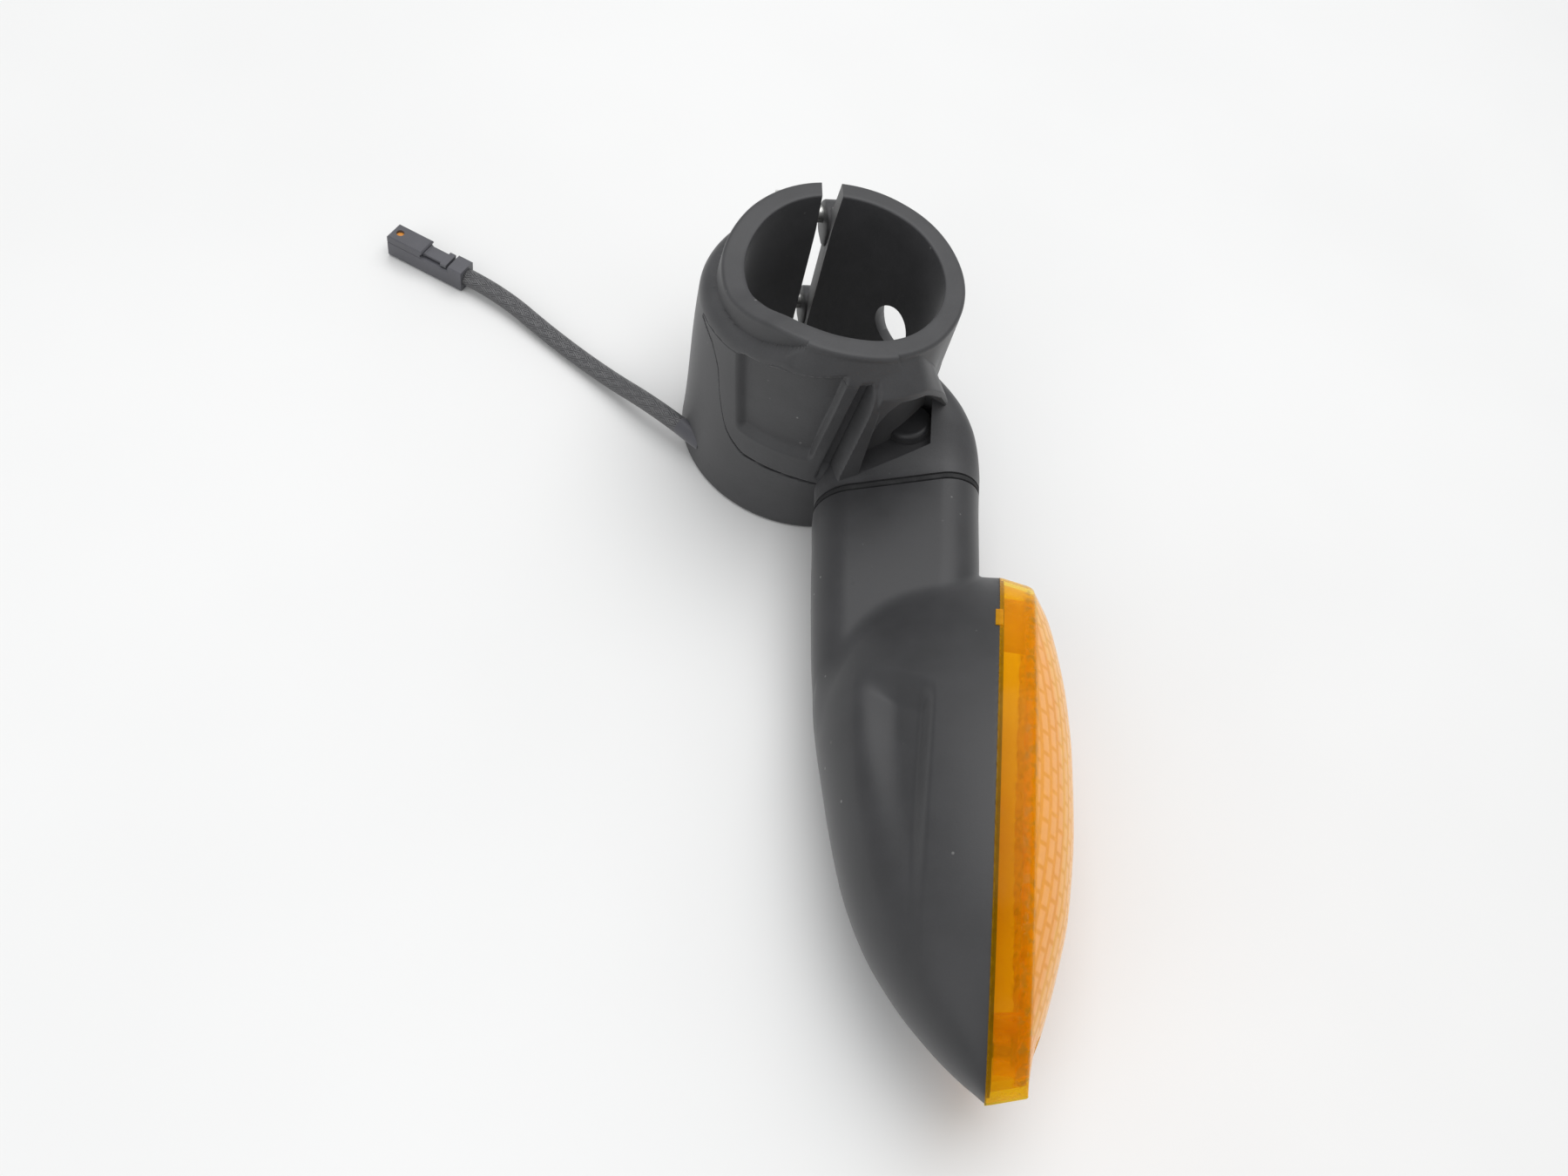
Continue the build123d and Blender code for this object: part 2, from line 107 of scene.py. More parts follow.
# ---- number work ----
def ramp(x: Array, low: float, high: float) -> Array:
    """Smooth step: 0 below low, 1 above high, 3u^2 - 2u^3 between."""
    u = np.clip((x - low) / (high - low), 0.0, 1.0)
    return u * u * (3.0 - 2.0 * u)


def through(x: Array, knots: Knots) -> Array:
    """Curve through knots: cubic Hermite pieces whose slopes are limited so it never overshoots.

    Args:
        x: places to read the curve at.
        knots: (place, value) pairs in rising order.

    Returns:
        The curve's values, held level beyond its ends.
    """
    at = np.array([k[0] for k in knots], float)
    to = np.array([k[1] for k in knots], float)
    step = np.diff(at)
    rise = np.diff(to) / step
    slope = np.zeros_like(to)
    same = rise[:-1] * rise[1:] > 0
    total = rise[:-1] + rise[1:]
    slope[1:-1] = np.where(same, 2 * rise[:-1] * rise[1:] / np.where(total == 0, 1, total), 0)
    x = np.clip(np.asarray(x, float), at[0], at[-1])
    i = np.clip(np.searchsorted(at, x, side="right") - 1, 0, len(step) - 1)
    u = (x - at[i]) / step[i]
    left = (1 + 2 * u) * (1 - u) ** 2 * to[i] + u * (1 - u) ** 2 * step[i] * slope[i]
    right = u * u * (3 - 2 * u) * to[i + 1] - u * u * (1 - u) * step[i] * slope[i + 1]
    return left + right


def soft_min(p: Array, q: Array, width: float) -> Array:
    """Smaller of two fields, rounded over a width where they cross."""
    h = np.clip(0.5 + 0.5 * (q - p) / width, 0.0, 1.0)
    return q + (p - q) * h - width * h * (1 - h)


def spread(low: float, high: float, marks: Sequence[tuple[float, float, float]], fine: float,
           coarse: float) -> Array:
    """Places from low to high, close together in the marked stretches.

    Args:
        low, high: the ends.
        marks: (from, to, spacing) stretches.
        fine: smallest spacing of the trial row.
        coarse: spacing outside the stretches.

    Returns:
        Rising places, both ends included.
    """
    trial = np.arange(low, high + fine, fine)
    spacing = np.full_like(trial, coarse)
    for start, end, gap in marks:
        spacing = np.where((trial >= start) & (trial <= end), np.minimum(spacing, gap), spacing)
    count = np.concatenate([[0.0], np.cumsum(fine / spacing[:-1])])
    steps = int(math.ceil(count[-1]))
    return np.interp(np.linspace(0, count[-1], steps + 1), count, np.clip(trial, low, high))


def lamp_to_row(a: Array, b: Array, t: Array) -> Array:
    """Points of the lamp's frame in the row frame: a and b turned by the rake, t along -Y.

    Args:
        a: how far the way the lens faces, in mm.
        b: how far towards the lamp's upper side, in mm.
        t: reach along the lamp, in mm.

    Returns:
        x, y and z along a last axis.
    """
    a, b, t = np.broadcast_arrays(a, b, t)
    return np.stack([LAMP_X + a * math.cos(RAKE) - b * math.sin(RAKE), -t,
                     LAMP_Z + a * math.sin(RAKE) + b * math.cos(RAKE)], -1)


def lamp_axis(a: float = 0.0, b: float = 0.0, t: float = 0.0) -> Array:
    """A direction of the lamp's frame in the row frame."""
    return lamp_to_row(a, b, t) - lamp_to_row(0.0, 0.0, 0.0)


def cylinder_to_row(radius: Array, degrees: Array, z: Array) -> Array:
    """Points round the fork tube's axis: x = r cos, y = r sin of the direction.

    Args:
        radius: distances from the fork tube's axis, in mm.
        degrees: directions round the fork tube's axis.
        z: heights above the sleeve's foot, in mm.

    Returns:
        x, y and z along a last axis.
    """
    angle = np.radians(degrees)
    radius, angle, z = np.broadcast_arrays(radius, angle, z)
    return np.stack([radius * np.cos(angle), radius * np.sin(angle), z], -1)


# ---- meshes ----
def grid_faces(rows: int, cols: int, close_rows: bool = False, close_cols: bool = False) -> Array:
    """Quads of a grid of points, each joining (i, j), (i, j+1), (i+1, j+1), (i+1, j).

    Args:
        rows: rows of points.
        cols: points in a row.
        close_rows: join the last row to the first.
        close_cols: join each row's end to its start.

    Returns:
        Point numbers, four to a face.
    """
    index = np.arange(rows * cols).reshape(rows, cols)
    if close_rows:
        index = np.vstack([index, index[:1]])
    if close_cols:
        index = np.hstack([index, index[:, :1]])
    quads = [index[:-1, :-1], index[:-1, 1:], index[1:, 1:], index[1:, :-1]]
    return np.stack(quads, -1).reshape(-1, 4)


def mark_sharp(mesh: bpy.types.Mesh, degrees: float) -> None:
    """Shade smooth, but keep the edges whose faces turn by more than an angle.

    Args:
        mesh: the mesh to change.
        degrees: the largest turn that is shaded smooth.
    """
    mesh.polygons.foreach_set("use_smooth", np.ones(len(mesh.polygons), bool))
    normals = np.empty(len(mesh.polygons) * 3, np.float32)
    mesh.polygons.foreach_get("normal", normals)
    normals = normals.reshape(-1, 3)
    edge = np.empty(len(mesh.loops), np.int32)
    mesh.loops.foreach_get("edge_index", edge)
    total = np.empty(len(mesh.polygons), np.int32)
    mesh.polygons.foreach_get("loop_total", total)
    owner = np.repeat(np.arange(len(mesh.polygons)), total)
    order = np.argsort(edge, kind="stable")
    edge, owner = edge[order], owner[order]
    pair = np.flatnonzero(edge[:-1] == edge[1:])
    turn = np.einsum("ij,ij->i", normals[owner[pair]], normals[owner[pair + 1]])
    sharp = np.zeros(len(mesh.edges), bool)
    sharp[edge[pair[turn < math.cos(math.radians(degrees))]]] = True
    layer = mesh.attributes.get("sharp_edge")
    if layer is None:
        layer = mesh.attributes.new("sharp_edge", "BOOLEAN", "EDGE")
    layer.data.foreach_set("value", sharp)
    mesh.update()


def weld(mesh: bpy.types.Mesh) -> None:
    """Join points that coincide, drop what that flattens and turn every face outwards.

    Args:
        mesh: the mesh to change.
    """
    work = bmesh.new()
    work.from_mesh(mesh)
    bmesh.ops.remove_doubles(work, verts=work.verts, dist=WELD * MM)
    bmesh.ops.dissolve_degenerate(work, edges=work.edges, dist=WELD * MM * 0.2)
    bmesh.ops.recalc_face_normals(work, faces=work.faces)
    work.to_mesh(mesh)
    work.free()


def piece(name: str, points: Array, faces: Sequence[Sequence[int]], sharp: float = CREASE,
          join: bool = True) -> Body:
    """A mesh object from points in millimetres.

    Args:
        name: the piece's name.
        points: an array whose last axis is x, y, z.
        faces: rows of point numbers.
        sharp: edges that turn by more than this stay crisp.
        join: weld coinciding points and turn the faces outwards.

    Returns:
        The new object, standing at the origin.
    """
    mesh = bpy.data.meshes.new(name)
    mesh.from_pydata((points.reshape(-1, 3) * MM).tolist(), [], [list(f) for f in faces])
    mesh.update()
    if join:
        weld(mesh)
    mark_sharp(mesh, sharp)
    made = bpy.data.objects.new(name, mesh)
    bpy.context.scene.collection.objects.link(made)
    return made


def tube_piece(name: str, points: Array, sharp: float = CREASE) -> Body:
    """A closed piece from a stack of closed loops (rows, around, 3), capped at both ends.

    Args:
        name: the piece's name.
        points: the loops, in mm.
        sharp: edges that turn by more degrees than this stay crisp.

    Returns:
        The new piece.
    """
    rows, cols = points.shape[:2]
    faces = grid_faces(rows, cols, close_cols=True).tolist()
    faces.append(list(range(cols)))
    faces.append(list(range((rows - 1) * cols, rows * cols)))
    return piece(name, points, faces, sharp)


def revolve(name: str, profile: Array, origin: Array, axis: Array, count: int = 48,
            sharp: float = CREASE) -> Body:
    """Surface of revolution: profile (radius, height) pairs turned about an axis.

    Args:
        name: the piece's name.
        profile: (radius, height) pairs, in mm.
        origin: where height is zero.
        axis: the way height grows.
        count: points round.
        sharp: edges that turn by more degrees than this stay crisp.

    Returns:
        The new piece.
    """
    axis = np.asarray(axis, float) / np.linalg.norm(axis)
    side = np.cross(axis, [0.3, 0.9, 0.2])
    side /= np.linalg.norm(side)
    other = np.cross(axis, side)
    turn = np.linspace(0, 2 * np.pi, count, endpoint=False)
    around = np.cos(turn)[:, None] * side + np.sin(turn)[:, None] * other
    points = (np.asarray(origin, float) + profile[:, None, 1:2] * axis
              + profile[:, None, 0:1] * around[None])
    return tube_piece(name, points, sharp)


def rounded_loop(left: Array, right: Array, low: Array, high: Array, corner: Array,
                 count: int = 160) -> tuple[Array, Array]:
    """Rounded oblong outlines: a straight side's point plus a quarter circle at each corner.

    Args:
        left, right, low, high, corner: one value per outline.
        count: points round each outline.

    Returns:
        The two coordinates, each (outlines, count).
    """
    turn = np.linspace(0, 2 * np.pi, count, endpoint=False) + np.pi / count
    reach = np.stack([np.sign(np.cos(turn)) * np.abs(np.cos(turn)) ** 0.5,
                      np.sign(np.sin(turn)) * np.abs(np.sin(turn)) ** 0.5])
    half_a = ((right - left) / 2)[:, None]
    half_b = ((high - low) / 2)[:, None]
    r = np.minimum(corner, np.minimum(half_a[:, 0], half_b[:, 0]) * 0.999)[:, None]
    a = reach[0] * (half_a + 2 * r)
    b = reach[1] * (half_b + 2 * r)
    core_a = np.clip(a, -(half_a - r), half_a - r)
    core_b = np.clip(b, -(half_b - r), half_b - r)
    out = np.hypot(a - core_a, b - core_b)
    out = np.where(out == 0, 1, out)
    return (((left + right) / 2)[:, None] + core_a + (a - core_a) / out * r,
            ((low + high) / 2)[:, None] + core_b + (b - core_b) / out * r)


def applied(target: Body) -> None:
    """Give an object the mesh that its modifiers make, and drop them.

    Args:
        target: the piece to change.
    """
    view = bpy.context.evaluated_depsgraph_get()
    mesh = bpy.data.meshes.new_from_object(target.evaluated_get(view))
    target.modifiers.clear()
    target.data = mesh


def carve(target: Body, cutters: Sequence[Body], sharp: float = CREASE,
          join: Sequence[Body] = ()) -> None:
    """Take closed cutters away from a piece, after adding closed parts to it.

    Args:
        target: the piece to change.
        cutters: closed pieces to take away.
        sharp: edges that turn by more degrees than this stay crisp.
        join: closed pieces to add first.
    """
    for operation, others in (("UNION", join), ("DIFFERENCE", cutters)):
        for other in others:
            step = target.modifiers.new(other.name, "BOOLEAN")
            step.operation = operation
            step.solver = "EXACT"
            step.object = other
    applied(target)
    for other in (*cutters, *join):
        bpy.data.objects.remove(other)
    mark_sharp(target.data, sharp)


def block(name: str, size: Sequence[float], corner: float, place: Matrix) -> Body:
    """A block with rounded long edges and eased ends, in its own turned place.

    Args:
        name: the piece's name.
        size: full sizes along the place's x, y and z.
        corner: radius round the z axis.
        place: turns and shifts it, in millimetres.

    Returns:
        The new piece.
    """
    ease = np.array([0.6, 0.17, 0.0, 0.0, 0.17, 0.6])
    end = np.array([-1, -1, -1, 1, 1, 1])
    level = np.array([0.0, 0.17, 0.6, -0.6, -0.17, 0.0]) + end * size[2] / 2
    a, b = rounded_loop(-size[0] / 2 + ease, size[0] / 2 - ease, -size[1] / 2 + ease,
                        size[1] / 2 - ease, np.full(6, corner), 48)
    points = np.stack([a, b, np.broadcast_to(level[:, None], a.shape)], -1)
    turn = np.array(place.to_3x3())
    return tube_piece(name, points @ turn.T + np.array(place.translation))


# ---- shader work ----
Feed = Union[float, Sequence[float], "Value", bpy.types.NodeSocket, str]


def opaque(value: Feed) -> Feed:
    """A plain colour with its fourth number, or anything else as it is."""
    return (*value, 1.0) if isinstance(value, tuple) and len(value) == 3 else value


class Value:
    """A number that varies over a surface; arithmetic on it adds Math nodes."""

    def __init__(self, paint: "Paint", socket: bpy.types.NodeSocket) -> None:
        """Wrap a socket of a paint's node tree."""
        self.paint = paint
        self.socket = socket

    def _math(self, operation: str, *terms: Feed) -> "Value":
        """One Math node on the given terms."""
        node = self.paint.node("ShaderNodeMath", {"operation": operation}, dict(enumerate(terms)))
        return Value(self.paint, node.outputs[0])

    def __add__(self, other: Feed) -> "Value":
        """Sum."""
        return self._math("ADD", self, other)

    __radd__ = __add__

    def __sub__(self, other: Feed) -> "Value":
        """Difference."""
        return self._math("SUBTRACT", self, other)

    def __rsub__(self, other: Feed) -> "Value":
        """Difference the other way round."""
        return self._math("SUBTRACT", other, self)

    def __mul__(self, other: Feed) -> "Value":
        """Product."""
        return self._math("MULTIPLY", self, other)

    __rmul__ = __mul__

    def __truediv__(self, other: Feed) -> "Value":
        """Quotient."""
        return self._math("DIVIDE", self, other)

    def __rtruediv__(self, other: Feed) -> "Value":
        """Quotient the other way round."""
        return self._math("DIVIDE", other, self)

    def __abs__(self) -> "Value":
        """Size without sign."""
        return self._math("ABSOLUTE", self)

    def floor(self) -> "Value":
        """Whole part."""
        return self._math("FLOOR", self)

    def wave(self) -> "Value":
        """Sine."""
        return self._math("SINE", self)

    def step(self, low: float, high: float) -> "Value":
        """Smooth step from 0 at low to 1 at high.

        Args:
            low: where it leaves 0.
            high: where it reaches 1.

        Returns:
            The stepped value.
        """
        node = self.paint.node("ShaderNodeMapRange", {"interpolation_type": "SMOOTHSTEP"},
                               {"Value": self, "From Min": low, "From Max": high})
        return Value(self.paint, node.outputs[0])


class Paint:
    """A material's node tree, filled one node at a time."""

    def __init__(self, name: str) -> None:
        """Start an empty material with an output node.

        Args:
            name: the material's name.
        """
        self.material = bpy.data.materials.new(name)
        self.material.use_nodes = True
        self.tree = self.material.node_tree
        self.tree.nodes.clear()
        self.output = self.node("ShaderNodeOutputMaterial")

    def node(self, kind: str, settings: Mapping[str, Any] | None = None,
             feeds: Mapping[str | int, Feed] | None = None) -> bpy.types.Node:
        """Add a node.

        Args:
            kind: the node's type.
            settings: its own settings, set first.
            feeds: a value or link for each named or numbered socket.

        Returns:
            The node.
        """
        made = self.tree.nodes.new(kind)
        for key, value in (settings or {}).items():
            setattr(made, key, value)
        for key, value in (feeds or {}).items():
            source = value.socket if isinstance(value, Value) else value
            if isinstance(source, bpy.types.NodeSocket):
                self.tree.links.new(source, made.inputs[key])
            else:
                made.inputs[key].default_value = source
        return made

    def place(self, scale: Sequence[float] = (1, 1, 1), turn: Sequence[float] = (0, 0, 0),
              centre: Sequence[float] = (0, 0, 0)) -> bpy.types.NodeSocket:
        """Object coordinates in millimetres, shifted, turned and scaled.

        Args:
            scale: factor for each axis.
            turn: Euler angles in radians.
            centre: the point that becomes zero, in mm.

        Returns:
            The coordinates.
        """
        source = self.node("ShaderNodeTexCoord").outputs["Object"]
        shift = [-c * MM for c in centre]
        moved = self.node("ShaderNodeVectorMath", {"operation": "ADD"}, {0: source, 1: shift})
        sized = [s * TO_MM for s in scale]
        return self.node("ShaderNodeMapping", {"vector_type": "POINT"},
                         {"Vector": self.turned(moved.outputs[0], turn), "Scale": sized}).outputs[0]

    def turned(self, vector: bpy.types.NodeSocket, turn: Sequence[float]) -> bpy.types.NodeSocket:
        """A vector turned by Euler angles in radians, or as it is for none.

        Args:
            vector: the coordinates to turn.
            turn: the angles.

        Returns:
            The turned coordinates.
        """
        if not any(turn):
            return vector
        return self.node("ShaderNodeMapping", {"vector_type": "POINT"},
                         {"Vector": vector, "Rotation": turn}).outputs[0]

    def parts(self, vector: bpy.types.NodeSocket) -> tuple[Value, Value, Value]:
        """A vector's three numbers."""
        node = self.node("ShaderNodeSeparateXYZ", None, {0: vector})
        return tuple(Value(self, out) for out in node.outputs)

    def noise(self, vector: bpy.types.NodeSocket, scale: float, detail: float = 2.0,
              rough: float = 0.5) -> Value:
        """Cloudy noise from 0 to 1.

        Args:
            vector: the coordinates it reads.
            scale: clouds per mm.
            detail: how many finer layers it has.
            rough: how strong those are.

        Returns:
            The noise.
        """
        node = self.node("ShaderNodeTexNoise", None,
                         {"Vector": vector, "Scale": scale, "Detail": detail, "Roughness": rough})
        return Value(self, node.outputs[0])

    def cells(self, vector: bpy.types.NodeSocket, scale: float) -> Value:
        """Distance to the nearest of scattered points.

        Args:
            vector: the coordinates it reads.
            scale: points per mm.

        Returns:
            The distance.
        """
        node = self.node("ShaderNodeTexVoronoi", {"feature": "F1"},
                         {"Vector": vector, "Scale": scale})
        return Value(self, node.outputs["Distance"])

    def blend(self, factor: Feed, first: Feed, second: Feed) -> bpy.types.NodeSocket:
        """A colour between two, by a factor.

        Args:
            factor: 0 for the first colour, 1 for the second.
            first: a colour or a link.
            second: a colour or a link.

        Returns:
            The blended colour.
        """
        node = self.node("ShaderNodeMix", {"data_type": "RGBA"},
                         {0: factor, 6: opaque(first), 7: opaque(second)})
        return node.outputs[2]

    def bump(self, height: Value, distance: float, strength: float = 1.0) -> bpy.types.NodeSocket:
        """A normal from a height; distance is in metres."""
        return self.node("ShaderNodeBump", None, {"Height": height, "Distance": distance,
                                                  "Strength": strength}).outputs[0]

    def surface(self, feeds: Mapping[str, Feed]) -> bpy.types.Node:
        """The main shader, linked to nothing yet."""
        return self.node("ShaderNodeBsdfPrincipled", None,
                         {socket: opaque(value) for socket, value in feeds.items()})

    def finish(self, shader: bpy.types.Node) -> bpy.types.Material:
        """Link the shader to the output and hand the material over."""
        self.tree.links.new(shader.outputs[0], self.output.inputs[0])
        return self.material


@dataclass(frozen=True)
class MouldedPlastic:
    """Black moulded plastic: fine spark grain, cloudy gloss, light dust."""

    name: str
    colour: Colour
    pale: Colour
    roughness: float = 0.5
    grain: float = 3.4
    depth: float = 0.00003
    specular: float = 0.5
    dust: float = 0.5
    sheen: float = 0.14

    def material(self) -> bpy.types.Material:
        """Cloud and dust tint the colour; two sizes of grain make the relief.

        Returns:
            The material.
        """
        paint = Paint(self.name)
        here = paint.place()
        cloud = paint.noise(here, 0.11, 3.0, 0.55)
        grain = paint.noise(here, self.grain, 2.0, 0.65)
        coarse = paint.noise(here, self.grain * 0.33, 2.0, 0.5)
        speck = 1.0 - paint.cells(here, 0.23).step(0.04, 0.085)
        patch = paint.noise(here, 0.05, 1.0).step(0.5, 0.64)
        dusty = speck * patch * self.dust
        tone = paint.blend((cloud * 0.75 + grain * 0.35).step(0.3, 0.85), self.colour, self.pale)
        colour = paint.blend(dusty, tone, (0.36, 0.36, 0.35))
        rough = cloud * 0.14 + grain * 0.08 + (self.roughness - 0.11) + dusty * 0.2
        relief = grain * 0.6 + coarse * 0.4
        return paint.finish(paint.surface({
            "Base Color": colour, "Roughness": rough, "Specular IOR Level": self.specular,
            "Sheen Weight": self.sheen, "Sheen Roughness": 0.45,
            "Normal": paint.bump(relief, self.depth)}))


@dataclass(frozen=True)
class AmberLens:
    """Clear amber plastic: part of the light passes, the rest shines, and a painted glow in its own
    colour makes it look lit from within.
    """

    name: str
    colour: Colour
    deep: Colour
    tint: Colour
    solid: float = 0.5
    # painted glow: emission strength that makes the unlit lens look lit from within
    painted_glow: float = 0.1
    roughness: float = 0.08
    dash: float = 0.0

    def pillows(self, paint: Paint) -> tuple[Value, Value, Value]:
        """The lens's front, rows of dashes over it, and the glints along the front's edge.

        Args:
            paint: the material being filled.

        Returns:
            Front, dashes and glints, each from 0 to 1.
        """
        ahead, reach, up = paint.parts(paint.place(turn=(0, RAKE, 0), centre=(LAMP_X, 0, LAMP_Z)))
        column = up / FLUTE_PITCH
        row = column.floor()
        across = abs((column * math.pi).wave())
        along = abs((reach / DASH_PITCH * math.pi - row * (math.pi / 2)).wave())
        front = ahead.step(30.9, 31.4)
        dashes = across.step(0.25, 0.8) * along.step(0.1, 0.5) * front
        glints = paint.noise(paint.place(), 0.55, 3.0).step(0.52, 0.6)
        return front, dashes, glints * ahead.step(28.2, 29.2) * (1.0 - front)

    def material(self) -> bpy.types.Material:
        """Tinted see-through mixed with a glossy amber; it shines more where it turns away.

        Returns:
            The material.
        """
        paint = Paint(self.name)
        here = paint.place()
        cloud = paint.noise(here, 0.09, 2.0, 0.5)
        fine = paint.noise(here, 0.9, 2.0, 0.5)
        front, dashes, glints = self.pillows(paint)
        depth = (cloud * 0.6 + fine * 0.4).step(0.3, 0.75)
        colour = paint.blend(depth, self.deep, self.colour)
        colour = paint.blend((front * 0.55 + dashes * 0.45) * self.dash, colour,
                             (1.0, 0.55, 0.23))
        colour = paint.blend(glints * self.dash, colour, (0.4, 0.2, 0.003))
        # painted glow: the amber gives off light in its own colour, though the lamp is off
        amber = paint.surface({"Base Color": colour, "Roughness": fine * 0.04 + self.roughness,
                               "Specular IOR Level": 0.34, "IOR": 1.5, "Emission Color": colour,
                               "Emission Strength": self.painted_glow,
                               "Normal": paint.bump(dashes * 0.4 + cloud * 0.5 + glints * 0.6,
                                                     0.00006)})
        clear = paint.node("ShaderNodeBsdfTransparent", None, {"Color": (*self.tint, 1.0)})
        away = Value(paint, paint.node("ShaderNodeLayerWeight", None, {"Blend": 0.42}).outputs[1])
        share = (away * 0.5 + (front * 0.16 + dashes * 0.12 + glints * 0.25) * self.dash
                 + fine * 0.06 + (self.solid - 0.03))
        return paint.finish(paint.node("ShaderNodeMixShader", None, {
            0: share, 1: clear.outputs[0], 2: amber.outputs[0]}))


@dataclass(frozen=True)
class PlatedMetal:
    """Plated or bare metal with fine tumbling marks and dull patches."""

    name: str
    colour: Colour
    dull: Colour
    roughness: float = 0.3
    metallic: float = 1.0
    scratch: float = 1.6

    def material(self) -> bpy.types.Material:
        """Patches change colour and gloss; stretched noise makes the marks.

        Returns:
            The material.
        """
        paint = Paint(self.name)
        patches = paint.noise(paint.place(), 0.45, 3.0, 0.6)
        marks = paint.noise(paint.place(scale=(1, 6, 1)), self.scratch, 3.0, 0.6)
        colour = paint.blend(patches.step(0.35, 0.75), self.colour, self.dull)
        return paint.finish(paint.surface({
            "Base Color": colour, "Metallic": self.metallic,
            "Roughness": patches * 0.16 + marks * 0.1 + (self.roughness - 0.13),
            "Normal": paint.bump(marks, 0.00002)}))


@dataclass(frozen=True)
class SoftRubber:
    """Matt rubber or closed-cell foam with a faint bloom."""

    name: str
    colour: Colour
    bloom: Colour
    pores: float = 2.2
    roughness: float = 0.78

    def material(self) -> bpy.types.Material:
        """Pores from cell distance, bloom from broad noise.

        Returns:
            The material.
        """
        paint = Paint(self.name)
        here = paint.place()
        bloom = paint.noise(here, 0.3, 3.0, 0.6)
        pores = paint.cells(here, self.pores)
        colour = paint.blend(bloom.step(0.35, 0.8), self.colour, self.bloom)
        return paint.finish(paint.surface({
            "Base Color": colour, "Roughness": bloom * 0.12 + (self.roughness - 0.06),
            "Specular IOR Level": 0.35, "Normal": paint.bump(pores, 0.00004)}))


@dataclass(frozen=True)
class ClearGlass:
    """Thin blown glass: mostly see-through, with a bright skin."""

    name: str
    tint: Colour = (0.97, 0.97, 0.95)

    def material(self) -> bpy.types.Material:
        """See-through and glossy mixed by the angle and a little haze.

        Returns:
            The material.
        """
        paint = Paint(self.name)
        haze = paint.noise(paint.place(), 0.3, 2.0)
        skin = paint.surface({"Base Color": (0.9, 0.9, 0.88), "Roughness": haze * 0.06 + 0.03})
        clear = paint.node("ShaderNodeBsdfTransparent", None, {"Color": (*self.tint, 1.0)})
        edge = Value(paint, paint.node("ShaderNodeLayerWeight", None, {"Blend": 0.3}).outputs[1])
        return paint.finish(paint.node("ShaderNodeMixShader", None, {
            0: edge * 0.6 + haze * 0.1 + 0.05, 1: clear.outputs[0], 2: skin.outputs[0]}))


@dataclass(frozen=True)
class WovenBraid:
    """Fine braided sleeving: yarns cross both ways round the cord, on its own UV map."""

    name: str
    yarn: Colour
    lit: Colour
    around: float = 26.0
    along: float = 0.85

    def material(self) -> bpy.types.Material:
        """Two families of slanting yarns, each a half-sine ridge; the higher one shows.

        Returns:
            The material.
        """
        paint = Paint(self.name)
        u, v, _ = paint.parts(paint.node("ShaderNodeUVMap", {"uv_map": "UVMap"}).outputs[0])
        lean = v * (self.along * math.pi)
        turn = u * (self.around * math.pi)
        one = abs((turn + lean).wave())
        two = abs((turn - lean).wave())
        over = ((turn * 0.5).wave() * (lean * 0.5).wave()).step(-0.2, 0.2)
        ridge = one * over + two * (1.0 - over)
        fibre = paint.noise(paint.place(), 5.0, 2.0)
        colour = paint.blend((ridge * 0.9 + fibre * 0.3).step(0.35, 1.0), self.yarn, self.lit)
        return paint.finish(paint.surface({
            "Base Color": colour, "Roughness": 0.44 - ridge * 0.16, "Specular IOR Level": 0.85,
            "Normal": paint.bump(ridge, 0.00012)}))


@dataclass(frozen=True)
class PaleTable:
    """Smooth pale table top with the faintest mottling."""

    name: str
    colour: Colour
    shade: Colour

    def material(self) -> bpy.types.Material:
        """Broad clouds tint the colour, fine noise breaks the gloss.

        Returns:
            The material.
        """
        paint = Paint(self.name)
        here = paint.place()
        cloud = paint.noise(here, 0.006, 3.0, 0.55)
        fine = paint.noise(here, 0.4, 2.0)
        colour = paint.blend(cloud.step(0.3, 0.75), self.colour, self.shade)
        return paint.finish(paint.surface({
            "Base Color": colour, "Roughness": fine * 0.1 + 0.42, "Specular IOR Level": 0.25}))


